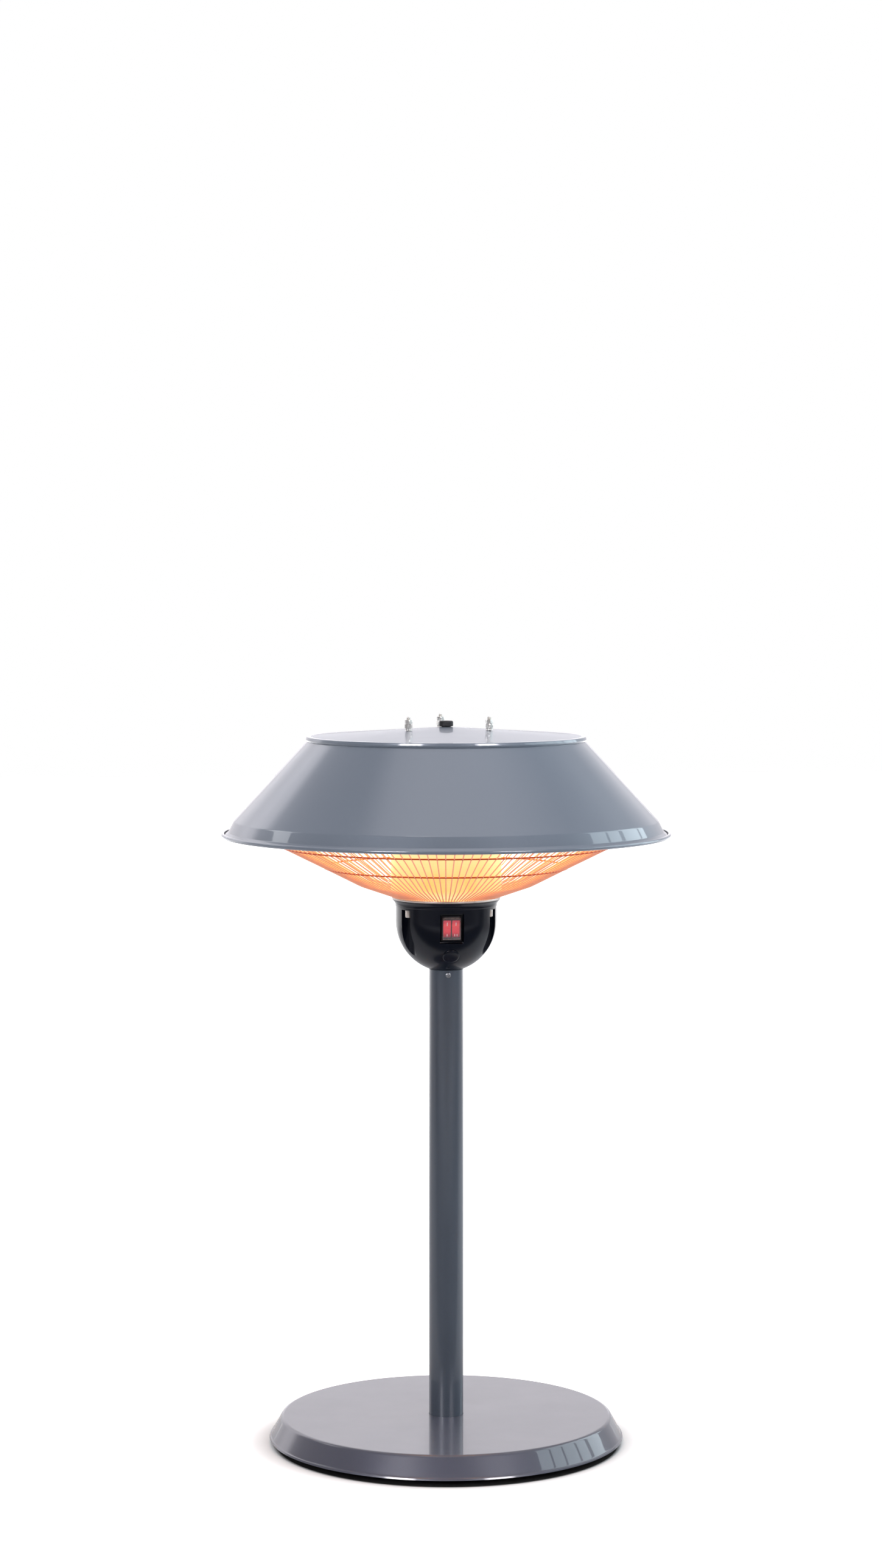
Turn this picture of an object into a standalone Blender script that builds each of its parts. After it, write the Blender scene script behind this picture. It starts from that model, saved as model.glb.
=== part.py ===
"""Table-top halogen heater: round weighted base, pole, switch bowl, wire guard, lamps and spun steel hood.

Metres, +Z up. The origin is on the floor, under the middle of the pole. The switch faces -Y.
"""

import math

import bmesh
import bpy
from mathutils import Matrix, Vector

FULL_TURN = 2 * math.pi
QUARTER_TURN = math.pi / 2
HALF_TURN = math.pi

# Fits
GAP = 0.0003
HOLE_CLEARANCE = 0.0003
OVERRUN = 0.01

# Facet counts and shading
LARGE_SEGMENTS = 42
MEDIUM_SEGMENTS = 32
SMALL_SEGMENTS = 16
ROD_SEGMENTS = 12
NUT_SEGMENTS = 6
BEND_STEPS = 3
BOWL_STEPS = 9
BEAD_STEPS = 6
SHARP_ANGLE = math.radians(30)

# Sheet and wall thicknesses
BASE_SHEET = 0.0015
PLATE_SHEET = 0.0015
HOOD_SHEET = 0.0012
REFLECTOR_SHEET = 0.001
DRUM_SHEET = 0.001
BRACKET_SHEET = 0.001
BOWL_WALL = 0.0025

# Pole
POLE_RADIUS = 0.019
POLE_WALL = 0.0015
POLE_SCREW_DROP = 0.0055
POLE_SCREW_RADIUS = 0.0015
POLE_SCREW_HEAD_RADIUS = 0.003
POLE_SCREW_HEAD_HEIGHT = 0.0014
POLE_SCREW_LENGTH = 0.006
POLE_BORE = POLE_RADIUS - POLE_WALL
SPIGOT_RADIUS = POLE_BORE - GAP

# Tie rods and their fasteners
ROD_COUNT = 3
ROD_START_ANGLE = math.radians(90)
ROD_RADIUS = 0.0024
ROD_TIP_CHAMFER = 0.0006
ROD_HOLE = ROD_RADIUS + HOLE_CLEARANCE
NUT_FLATS = 0.008
NUT_HEIGHT = 0.0044
WASHER_RADIUS = 0.0043
WASHER_HEIGHT = 0.0024
WASHER_WAIST = 0.0006
SLEEVE_NUT_RADIUS = 0.0036
SLEEVE_NUT_HEIGHT = 0.008

# Weight and pole flange inside the base
PLATE_LIFT = GAP
COUNTERWEIGHT_INSET = 0.0108
COUNTERWEIGHT_HEIGHT = 0.0155
COUNTERWEIGHT_BORE = POLE_RADIUS + 0.002
CABLE_CHANNEL_WIDTH = 0.012
CABLE_CHANNEL_DEPTH = 0.009
FLANGE_THICKNESS = 0.004
FLANGE_SPIGOT_HEIGHT = 0.03
FLANGE_SPIGOT_WALL = 0.0052
FLANGE_BORE = SPIGOT_RADIUS - FLANGE_SPIGOT_WALL
FLANGE_BOLT_COUNT = 3
FLANGE_BOLT_ANGLE = ROD_START_ANGLE + HALF_TURN
FLANGE_BOLT_OFFSET = 0.012
FLANGE_BOLT_CIRCLE = POLE_RADIUS + FLANGE_BOLT_OFFSET
FLANGE_EDGE = 0.011
FLANGE_RADIUS = FLANGE_BOLT_CIRCLE + FLANGE_EDGE
FLANGE_BOLT_RADIUS = 0.003
FLANGE_BOLT_HEAD_RADIUS = 0.005
FLANGE_BOLT_HEAD_HEIGHT = 0.006
HEX_SOCKET_RADIUS = 0.0026
HEX_SOCKET_DEPTH = 0.003

# Base cover and feet
FOOT_HEIGHT = 0.006
FOOT_RADIUS = 0.011
FOOT_TAPER = 0.0015
FOOT_COUNT = 4
FOOT_RIM_INSET = 0.0315
FOOT_START_ANGLE = math.radians(45)
PLATE_Z = FOOT_HEIGHT + PLATE_LIFT
COUNTERWEIGHT_Z = PLATE_Z + PLATE_SHEET + GAP
FLANGE_Z = COUNTERWEIGHT_Z + COUNTERWEIGHT_HEIGHT + GAP
POLE_FOOT_Z = FLANGE_Z + FLANGE_THICKNESS + GAP
COVER_CLEARANCE = 0.0002
BASE_TOP_RADIUS = 0.1828
BASE_TOP_Z = FLANGE_Z + FLANGE_THICKNESS + COVER_CLEARANCE + BASE_SHEET
BASE_BAND_RUN = 0.0125
BASE_CREASE_RADIUS = 0.004
LIP_HEIGHT = 0.0025
LIP_INSET = 0.0012
LIP_RADIUS = BASE_TOP_RADIUS + BASE_BAND_RUN + LIP_INSET
BASE_LIP_Z = FOOT_HEIGHT
BASE_BAND_DROP = BASE_TOP_Z - BASE_LIP_Z - LIP_HEIGHT
COUNTERWEIGHT_RADIUS = BASE_TOP_RADIUS - COUNTERWEIGHT_INSET
FOOT_CIRCLE_RADIUS = LIP_RADIUS - FOOT_RIM_INSET
GROMMET_DROP_SHARE = 0.5
GROMMET_NECK_RADIUS = 0.0055
GROMMET_FLANGE_RADIUS = 0.0085
GROMMET_FLANGE_THICKNESS = 0.002
GROMMET_BORE = 0.0035

# Bowl
BOWL_RADIUS = 0.0563
BOWL_DEPTH = 0.057
BOWL_EQUATOR_Z = 0.579
BOWL_COLLAR_HEIGHT = 0.02
BOWL_LIP_FLARE = 0.0037
BOWL_LIP_RISE = 0.004
BOWL_FLOOR_THICKNESS = 0.0035
BOWL_SPIGOT_LENGTH = 0.024
BOWL_SPIGOT_WALL = 0.0042
BOWL_SPIGOT_BORE = SPIGOT_RADIUS - BOWL_SPIGOT_WALL
BOWL_NECK_Z = BOWL_EQUATOR_Z + BOWL_COLLAR_HEIGHT
BOWL_LIP_RADIUS = BOWL_RADIUS + BOWL_LIP_FLARE
BOWL_LIP_Z = BOWL_NECK_Z + BOWL_LIP_RISE
BOWL_NECK_DROP = BOWL_DEPTH * math.sqrt(1 - (POLE_RADIUS / BOWL_RADIUS) ** 2)
BOWL_BOTTOM_Z = BOWL_EQUATOR_Z - BOWL_NECK_DROP
POLE_TOP_Z = BOWL_BOTTOM_Z - GAP
BOWL_FLOOR_Z = BOWL_BOTTOM_Z + BOWL_FLOOR_THICKNESS
ROD_INSET = 0.0043
ROD_CIRCLE_RADIUS = BOWL_RADIUS - ROD_INSET
FLUTE_RADIUS = 0.0087
FLUTE_WALL = 0.002
FLUTE_TOP_DROP = 0.0095
FLUTE_TOP_Z = BOWL_LIP_Z - FLUTE_TOP_DROP
FLUTE_CEILING = 0.0025
PLUG_ANGLE = math.radians(38.6)
PLUG_HEAD_RADIUS = 0.0092
PLUG_HEAD_THICKNESS = 0.0016
PLUG_STEM_RADIUS = 0.0065
PLUG_STEM_LENGTH = 0.0055
PLUG_STEM_WALL = 0.0012
PLUG_BOSS_MARGIN = 0.0033
PLUG_BOSS_RADIUS = PLUG_HEAD_RADIUS + PLUG_BOSS_MARGIN
PLUG_BOSS_RISE = 0.0004

# Switch
SWITCH_DROP = 0.0043
SWITCH_Z = BOWL_EQUATOR_Z - SWITCH_DROP
ROCKER_WIDTH = 0.0082
ROCKER_HEIGHT = 0.0188
ROCKER_RISE = 0.0022
ROCKER_SKIRT = 0.002
ROCKER_HUB_RADIUS = 0.0022
ROCKER_TILT = math.radians(7)
ROCKER_CROWN_ANGLE = math.radians(7)
ROCKER_WELL = ROCKER_HEIGHT + HOLE_CLEARANCE * 4
SWITCH_RIB_WIDTH = 0.001
SWITCH_SIDE_WALL = 0.0005
SWITCH_END_WALL = 0.0008
SWITCH_BODY_WIDTH = SWITCH_RIB_WIDTH + 2 * (ROCKER_WIDTH + 2 * HOLE_CLEARANCE + SWITCH_SIDE_WALL)
SWITCH_BODY_HEIGHT = ROCKER_WELL + 2 * SWITCH_END_WALL
SWITCH_BODY_DEPTH = 0.02
SWITCH_CAVITY_DEPTH = 0.0115
BEZEL_SIDE_MARGIN = 0.0018
BEZEL_END_MARGIN = 0.0033
BEZEL_THICKNESS = 0.0016
BEZEL_WIDTH = SWITCH_BODY_WIDTH + 2 * BEZEL_SIDE_MARGIN
BEZEL_HEIGHT = SWITCH_BODY_HEIGHT + 2 * BEZEL_END_MARGIN
POCKET_SIDE_MARGIN = 0.0014
POCKET_END_MARGIN = 0.0019
POCKET_DEPTH = 0.0108
POCKET_WALL = 0.002
POCKET_WIDTH = BEZEL_WIDTH + 2 * POCKET_SIDE_MARGIN
POCKET_HEIGHT = BEZEL_HEIGHT + 2 * POCKET_END_MARGIN
POCKET_FLOOR_DISTANCE = BOWL_RADIUS - POCKET_DEPTH
BEZEL_DISTANCE = POCKET_FLOOR_DISTANCE + GAP + BEZEL_THICKNESS
SWITCH_PIVOT_DISTANCE = BEZEL_DISTANCE - BEZEL_THICKNESS
TERMINAL_WIDTH = 0.0048
TERMINAL_THICKNESS = 0.0008
TERMINAL_LENGTH = 0.007
TERMINAL_RISE_SHARE = 0.3
BOOT_SIDE_MARGIN = 0.00045
BOOT_END_MARGIN = 0.0015
BOOT_WIDTH = SWITCH_BODY_WIDTH + 2 * BOOT_SIDE_MARGIN
BOOT_HEIGHT = SWITCH_BODY_HEIGHT + 2 * BOOT_END_MARGIN
BOOT_DEPTH = 0.0046
BOOT_WALL = 0.0006
BOOT_TAPER = 0.0006

# Tip-over switch, under the lower reflector
HUNG_TOP_Z = BOWL_LIP_Z
TIP_CASE_WIDTH = 0.016
TIP_CASE_DEPTH = 0.026
TIP_CASE_HEIGHT = 0.032
TIP_CASE_WALL = 0.0015
TIP_CASE_PLACE = Vector((-0.02, 0.008, 0))
TIP_PIN_RADIUS = 0.0015
TIP_PIN_DROP = 0.007
PENDULUM_HUB_RADIUS = 0.0042
PENDULUM_THICKNESS = 0.006
PENDULUM_ARM_WIDTH = 0.004
PENDULUM_ARM_LENGTH = 0.0135
PENDULUM_WEIGHT_RADIUS = 0.006

# Drum and lower reflector
GUARD_RING = 0.002
GUARD_FOOT_INSET = 0.0007
GUARD_FOOT_RADIUS = BOWL_LIP_RADIUS - GUARD_FOOT_INSET
RING_CLEARANCE = 0.0004
LOWER_REFLECTOR_RADIUS = GUARD_FOOT_RADIUS - GUARD_RING / 2 - RING_CLEARANCE
LOWER_REFLECTOR_BORE = 0.005
LOWER_REFLECTOR_Z = BOWL_LIP_Z + GAP
DRUM_OVERHANG = 0.0017
DRUM_RADIUS = BOWL_LIP_RADIUS + DRUM_OVERHANG
DRUM_FOOT_MARGIN = 0.008
DRUM_FOOT_RADIUS = ROD_CIRCLE_RADIUS - DRUM_FOOT_MARGIN
DRUM_FOOT_BEND = 0.008
DRUM_HEIGHT = 0.1391
DRUM_FOOT_Z = LOWER_REFLECTOR_Z + REFLECTOR_SHEET + GAP
DRUM_TOP_Z = DRUM_FOOT_Z + DRUM_HEIGHT
UPPER_REFLECTOR_Z = DRUM_TOP_Z + GAP + REFLECTOR_SHEET

# Hood and cap
HOOD_BEAD_RADIUS = 0.0023
HOOD_BEAD_CIRCLE_RADIUS = 0.2483
HOOD_TROUGH_INSET = 0.0035
HOOD_SKIRT_INSET = 0.0025
HOOD_CREASE_INSET = 0.0059
HOOD_CONE_RUN = 0.0817
HOOD_SHOULDER_INSET = 0.0022
HOOD_FLANGE_WIDTH = 0.0165
HOOD_TROUGH_RADIUS = HOOD_BEAD_CIRCLE_RADIUS - HOOD_TROUGH_INSET
HOOD_SKIRT_RADIUS = HOOD_TROUGH_RADIUS - HOOD_SKIRT_INSET
HOOD_CREASE_RADIUS = HOOD_SKIRT_RADIUS - HOOD_CREASE_INSET
HOOD_TOP_RADIUS = HOOD_CREASE_RADIUS - HOOD_CONE_RUN
HOOD_SHOULDER_RADIUS = HOOD_TOP_RADIUS - HOOD_SHOULDER_INSET
HOOD_FLANGE_RADIUS = HOOD_SHOULDER_RADIUS - HOOD_FLANGE_WIDTH
HOOD_HEADROOM = 0.0376
HOOD_SHOULDER_DROP = 0.0031
HOOD_CONE_HEIGHT = 0.0889
HOOD_SKIRT_HEIGHT = 0.0115
HOOD_TROUGH_DROP = 0.0026
HOOD_BEAD_DROP = 0.0014
HOOD_SHOULDER_Z = UPPER_REFLECTOR_Z + HOOD_HEADROOM
HOOD_TOP_Z = HOOD_SHOULDER_Z - HOOD_SHOULDER_DROP
HOOD_CREASE_Z = HOOD_TOP_Z - HOOD_CONE_HEIGHT
HOOD_SKIRT_Z = HOOD_CREASE_Z - HOOD_SKIRT_HEIGHT
HOOD_TROUGH_Z = HOOD_SKIRT_Z - HOOD_TROUGH_DROP
HOOD_BEAD_Z = HOOD_TROUGH_Z - HOOD_BEAD_DROP
CAP_OVERHANG = 0.0016
CAP_RIM_OVERLAP = 0.0004
CAP_EDGE_INSET = 0.0053
CAP_SEAT = 0.0017
CAP_CROWN_RISE = 0.0107
CAP_RIM_BEND = 0.0022
CAP_BORE = 0.0055
CAP_RADIUS = HOOD_TOP_RADIUS + CAP_OVERHANG
CAP_RIM_BOTTOM_Z = HOOD_TOP_Z - CAP_RIM_OVERLAP
CAP_EDGE_RADIUS = CAP_RADIUS - CAP_EDGE_INSET
CAP_EDGE_Z = HOOD_SHOULDER_Z + CAP_SEAT
CAP_CROWN_Z = CAP_EDGE_Z + CAP_CROWN_RISE
CAP_SLOPE = CAP_CROWN_RISE / CAP_EDGE_RADIUS
CAP_ROD_Z = CAP_CROWN_Z - CAP_SLOPE * ROD_CIRCLE_RADIUS
CENTRE_PLUG_RADIUS = 0.0078
CENTRE_PLUG_HEIGHT = 0.006
CENTRE_PLUG_EDGE = 0.0012
CENTRE_PLUG_STEM = CAP_BORE - 0.0005

# Upper reflector, under the hood
UPPER_REFLECTOR_BORE = 0.006
REFLECTOR_FLAT_MARGIN = 0.03
REFLECTOR_EDGE_CLEARANCE = 0.0084
REFLECTOR_FLANGE_WIDTH = 0.014
REFLECTOR_RIM_DROP = 0.0074
UPPER_REFLECTOR_FLAT_RADIUS = DRUM_RADIUS + REFLECTOR_FLAT_MARGIN
UPPER_REFLECTOR_FLANGE_RADIUS = HOOD_CREASE_RADIUS - REFLECTOR_EDGE_CLEARANCE
UPPER_REFLECTOR_RIM_RADIUS = UPPER_REFLECTOR_FLANGE_RADIUS - REFLECTOR_FLANGE_WIDTH
UPPER_REFLECTOR_RIM_Z = HOOD_CREASE_Z - REFLECTOR_RIM_DROP
REFLECTOR_DROP = UPPER_REFLECTOR_Z - UPPER_REFLECTOR_RIM_Z
REFLECTOR_SLOPE = REFLECTOR_DROP / (UPPER_REFLECTOR_RIM_RADIUS - UPPER_REFLECTOR_FLAT_RADIUS)

# Wire guard, from the bowl's lip out to the reflector's flange
GUARD_WIRES = 56
GUARD_WIRE = 0.0014
GUARD_SHEET = 0.0014
GUARD_RIM_INSET = 0.006
GUARD_KNEE_SHARES = (0.2317, 0.1943)
GUARD_LOWER_RING_SHARES = (0.4714, 0.4495)
GUARD_UPPER_RING_SHARES = (0.7664, 0.7578)
GUARD_FOOT_Z = BOWL_LIP_Z + GAP + GUARD_SHEET / 2
GUARD_OUTER_RING_RADIUS = UPPER_REFLECTOR_FLANGE_RADIUS - GUARD_RIM_INSET
GUARD_OUTER_RING_Z = UPPER_REFLECTOR_RIM_Z - REFLECTOR_SHEET - GAP - GUARD_SHEET / 2


def along_guard(shares):
    """The (r, z) point at these shares of the way from the foot ring to the outer ring."""
    reach = GUARD_OUTER_RING_RADIUS - GUARD_FOOT_RADIUS
    rise = GUARD_OUTER_RING_Z - GUARD_FOOT_Z
    return (GUARD_FOOT_RADIUS + reach * shares[0], GUARD_FOOT_Z + rise * shares[1])


GUARD_LINE = (
    (GUARD_FOOT_RADIUS + GUARD_RING / 2, GUARD_FOOT_Z),
    along_guard(GUARD_KNEE_SHARES),
    along_guard(GUARD_LOWER_RING_SHARES),
    along_guard(GUARD_UPPER_RING_SHARES),
    (GUARD_OUTER_RING_RADIUS - GUARD_RING / 2, GUARD_OUTER_RING_Z),
)
GUARD_RING_RADII = (
    GUARD_FOOT_RADIUS,
    along_guard(GUARD_LOWER_RING_SHARES)[0],
    along_guard(GUARD_UPPER_RING_SHARES)[0],
    GUARD_OUTER_RING_RADIUS,
)

# Lamps, each pair of ends held by one bracket. Their caps reach out to just inside the reflector
LAMP_COUNT = 3
LAMP_START_ANGLE = math.radians(30)
LAMP_END_ANGLE = math.radians(54.3)
LAMP_DROP = 0.054
LAMP_TUBE_RADIUS = 0.005
LAMP_TUBE_WALL = 0.001
FILAMENT_RADIUS = 0.0009
LAMP_CAP_SIZE = Vector((0.018, 0.012, 0.012))
LAMP_CAP_BEVEL = 0.0012
LAMP_CAP_CLEARANCE = 0.0015
LAMP_Z = UPPER_REFLECTOR_Z - LAMP_DROP
LAMP_HEADROOM = LAMP_DROP - REFLECTOR_SHEET - LAMP_CAP_SIZE.z / 2
LAMP_REACH = UPPER_REFLECTOR_FLAT_RADIUS + LAMP_HEADROOM / REFLECTOR_SLOPE - LAMP_CAP_CLEARANCE
LAMP_DISTANCE = LAMP_REACH * math.cos(LAMP_END_ANGLE) - LAMP_CAP_SIZE.y / 2
LAMP_TUBE_LENGTH = 2 * (LAMP_REACH * math.sin(LAMP_END_ANGLE) - LAMP_CAP_SIZE.x - GAP)
BRACKET_INSET = 0.0086
BRACKET_LENGTH = 0.018
BRACKET_WIDTH = 0.048
BRACKET_TOP_CLEARANCE = 0.0011
BRACKET_OUTER_RADIUS = LAMP_REACH - BRACKET_INSET
BRACKET_INNER_RADIUS = BRACKET_OUTER_RADIUS - BRACKET_LENGTH

# Places along the tie rods
ROD_TIP_RISE = 0.012
ROD_FOOT_DROP = 0.0065
ROD_TIP_Z = CAP_CROWN_Z + ROD_TIP_RISE
ROD_FOOT_Z = FLUTE_TOP_Z - ROD_FOOT_DROP
WASHER_Z = CAP_CROWN_Z - CAP_SLOPE * (ROD_CIRCLE_RADIUS - WASHER_RADIUS) + GAP
LOCK_NUT_Z = WASHER_Z + WASHER_HEIGHT + GAP
TOP_NUT_Z = LOCK_NUT_Z + NUT_HEIGHT + GAP
SLEEVE_NUT_Z = FLUTE_TOP_Z - GAP - SLEEVE_NUT_HEIGHT


def clear_scene():
    for old in list(bpy.data.objects):
        bpy.data.objects.remove(old)


def make_material(name, colour, roughness, metallic, alpha=1.0):
    material = bpy.data.materials.new(name)
    material.use_nodes = True
    shader = material.node_tree.nodes["Principled BSDF"]
    shader.inputs["Base Color"].default_value = (*colour, 1.0)
    shader.inputs["Roughness"].default_value = roughness
    shader.inputs["Metallic"].default_value = metallic
    shader.inputs["Alpha"].default_value = alpha
    return material


def finish(name, bm, material, place=None):
    """Turns a bmesh into a named, smooth-shaded object with its faces pointing out."""
    bmesh.ops.recalc_face_normals(bm, faces=bm.faces)
    mesh = bpy.data.meshes.new(name)
    bm.to_mesh(mesh)
    bm.free()
    mesh.shade_smooth()
    mesh.set_sharp_from_angle(angle=SHARP_ANGLE)
    mesh.materials.append(material)
    made = bpy.data.objects.new(name, mesh)
    bpy.context.scene.collection.objects.link(made)
    if place is not None:
        made.matrix_world = place
    return made


def arc(centre, radius, start, end, steps):
    """Points of an arc in the (r, z) plane, both ends included."""
    turns = [start + (end - start) * i / steps for i in range(steps + 1)]
    return [(centre[0] + radius * math.cos(a), centre[1] + radius * math.sin(a)) for a in turns]


def rounded(points, radii, steps=BEND_STEPS):
    """The path with each inner corner replaced by a bend of its own radius."""
    path = [points[0]]
    for before, corner, after, radius in zip(points, points[1:], points[2:], radii):
        corner = Vector(corner)
        back = (Vector(before) - corner).normalized()
        ahead = (Vector(after) - corner).normalized()
        half = math.acos(max(-1, min(1, back.dot(ahead)))) / 2
        if not radius:
            path.append(tuple(corner))
            continue
        centre = corner + (back + ahead).normalized() * radius / math.sin(half)
        first = corner + back * radius / math.tan(half) - centre
        last = corner + ahead * radius / math.tan(half) - centre
        for i in range(steps + 1):
            ray = first.lerp(last, i / steps).normalized() * radius
            path.append(tuple(centre + ray))
    path.append(points[-1])
    return path


def walled(path, thickness):
    """A closed outline: the path, and the same path moved to its right by the thickness."""
    moved = []
    for i, point in enumerate(path):
        here = Vector(point)
        before = here - Vector(path[i - 1]) if i else Vector(path[1]) - here
        after = Vector(path[i + 1]) - here if i + 1 < len(path) else before
        before.normalize()
        after.normalize()
        along = (before + after).normalized()
        side = Vector((along.y, -along.x))
        moved.append(tuple(here + side * thickness / along.dot(before)))
    return list(path) + moved[::-1]


def turned_mesh(bm, outline, segments, start=0.0):
    """Spins a closed (r, z) outline round Z. A point on the axis stays one point."""
    rings = []
    for r, z in outline:
        if r < GAP / 2:
            rings.append([bm.verts.new((0, 0, z))] * segments)
            continue
        angles = [start + FULL_TURN * k / segments for k in range(segments)]
        rings.append([bm.verts.new((r * math.cos(a), r * math.sin(a), z)) for a in angles])
    for i, ring in enumerate(rings):
        following = rings[(i + 1) % len(rings)]
        for k in range(segments):
            n = (k + 1) % segments
            corners = [ring[k], ring[n], following[n], following[k]]
            corners = list(dict.fromkeys(corners))
            if len(corners) > 2:
                bm.faces.new(corners)


def turned(name, outline, material, segments, place=None, start=0.0):
    bm = bmesh.new()
    turned_mesh(bm, outline, segments, start)
    return finish(name, bm, material, place)


def drilled(length, radius):
    """Outline of a plain cylinder that starts at z = 0."""
    return [(0, 0), (radius, 0), (radius, length), (0, length)]


def tube(length, radius, bore):
    return [(bore, 0), (radius, 0), (radius, length), (bore, length)]


def box_mesh(bm, low, high):
    made = bmesh.ops.create_cube(bm, size=1)
    size = Vector(high) - Vector(low)
    middle = (Vector(high) + Vector(low)) / 2
    for vert in made["verts"]:
        vert.co = Vector(a * b for a, b in zip(vert.co, size)) + middle


def box(name, low, high, material, place=None):
    bm = bmesh.new()
    box_mesh(bm, low, high)
    return finish(name, bm, material, place)


def extruded(name, outline, low, high, material, place=None):
    """Extrudes a (y, z) outline along X from low to high."""
    bm = bmesh.new()
    near = [bm.verts.new((low, y, z)) for y, z in outline]
    far = [bm.verts.new((high, y, z)) for y, z in outline]
    bm.faces.new(near[::-1])
    bm.faces.new(far)
    for i in range(len(outline)):
        n = (i + 1) % len(outline)
        bm.faces.new((near[i], near[n], far[n], far[i]))
    return finish(name, bm, material, place)


def shape(obj, tool, operation):
    """Adds or takes away the tool's shape, and hides the tool."""
    modifier = obj.modifiers.new(f"{operation.lower()} {tool.name}", "BOOLEAN")
    modifier.operation = operation
    modifier.solver = "EXACT"
    modifier.object = tool
    tool.hide_render = True
    tool.display_type = "WIRE"
    return obj


def cut(obj, tool):
    return shape(obj, tool, "DIFFERENCE")


def join(obj, tool):
    return shape(obj, tool, "UNION")


def round_places(count, radius, start, z=0.0):
    """Places on a circle, each turned to face outwards along its own +X."""
    for k in range(count):
        turn = Matrix.Rotation(start + FULL_TURN * k / count, 4, "Z")
        yield turn @ Matrix.Translation((radius, 0, z))


def row_of_cutters(name, outline, places, segments, material):
    """One cutter made of the same turned shape at each place."""
    bm = bmesh.new()
    for place in places:
        start = len(bm.verts)
        turned_mesh(bm, outline, segments)
        bm.verts.ensure_lookup_table()
        bmesh.ops.transform(bm, matrix=place, verts=bm.verts[start:])
    return finish(name, bm, material)


def rod_places(z):
    return round_places(ROD_COUNT, ROD_CIRCLE_RADIUS, ROD_START_ANGLE, z)


def base_wall():
    """The cover's outer path, from the pole hole over the crease to the lip."""
    corners = [
        (POLE_RADIUS + HOLE_CLEARANCE, BASE_TOP_Z),
        (BASE_TOP_RADIUS, BASE_TOP_Z),
        (LIP_RADIUS - LIP_INSET, BASE_LIP_Z + LIP_HEIGHT),
        (LIP_RADIUS, BASE_LIP_Z),
    ]
    return rounded(corners, (BASE_CREASE_RADIUS, 0))


def make_base(materials):
    paint = materials["hood_grey"]
    cover = turned("base_cover", walled(base_wall(), BASE_SHEET), paint, LARGE_SEGMENTS)
    inner_lip = LIP_RADIUS - LIP_INSET - BASE_SHEET - GAP * 2
    plate_outline = [
        (FLANGE_RADIUS, PLATE_Z),
        (inner_lip, PLATE_Z),
        (inner_lip - LIP_INSET, PLATE_Z + PLATE_SHEET),
        (FLANGE_RADIUS, PLATE_Z + PLATE_SHEET),
    ]
    turned("base_plate", plate_outline, materials["zinc"], LARGE_SEGMENTS)
    make_feet(materials)
    make_counterweight(materials)
    make_flange(materials)
    make_grommet(cover, materials)


def make_feet(materials):
    foot = [
        (0, 0),
        (FOOT_RADIUS - FOOT_TAPER, 0),
        (FOOT_RADIUS, FOOT_TAPER),
        (FOOT_RADIUS, FOOT_HEIGHT),
        (0, FOOT_HEIGHT),
    ]
    places = round_places(FOOT_COUNT, FOOT_CIRCLE_RADIUS, FOOT_START_ANGLE)
    for number, place in enumerate(places, start=1):
        turned(f"foot_{number}", foot, materials["rubber"], SMALL_SEGMENTS, place)


def make_counterweight(materials):
    low = COUNTERWEIGHT_Z
    weight = turned(
        "base_counterweight",
        [
            (COUNTERWEIGHT_BORE, low),
            (COUNTERWEIGHT_RADIUS, low),
            (COUNTERWEIGHT_RADIUS, low + COUNTERWEIGHT_HEIGHT),
            (COUNTERWEIGHT_BORE, low + COUNTERWEIGHT_HEIGHT),
        ],
        materials["cement"],
        LARGE_SEGMENTS,
    )
    head_radius = FLANGE_BOLT_HEAD_RADIUS + HOLE_CLEARANCE
    shank_radius = FLANGE_BOLT_RADIUS + HOLE_CLEARANCE
    seat = FLANGE_BOLT_HEAD_HEIGHT + GAP * 2
    bore = [
        (0, -OVERRUN),
        (head_radius, -OVERRUN),
        (head_radius, seat),
        (shank_radius, seat),
        (shank_radius, COUNTERWEIGHT_HEIGHT + OVERRUN),
        (0, COUNTERWEIGHT_HEIGHT + OVERRUN),
    ]
    places = round_places(FLANGE_BOLT_COUNT, FLANGE_BOLT_CIRCLE, FLANGE_BOLT_ANGLE, low)
    bores = row_of_cutters("bolt_bores", bore, places, SMALL_SEGMENTS, materials["zinc"])
    cut(weight, bores)
    half = CABLE_CHANNEL_WIDTH / 2
    channel = box(
        "cable_channel",
        (-half, 0, low - OVERRUN),
        (half, COUNTERWEIGHT_RADIUS + OVERRUN, low + CABLE_CHANNEL_DEPTH),
        materials["zinc"],
    )
    cut(weight, channel)


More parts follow.
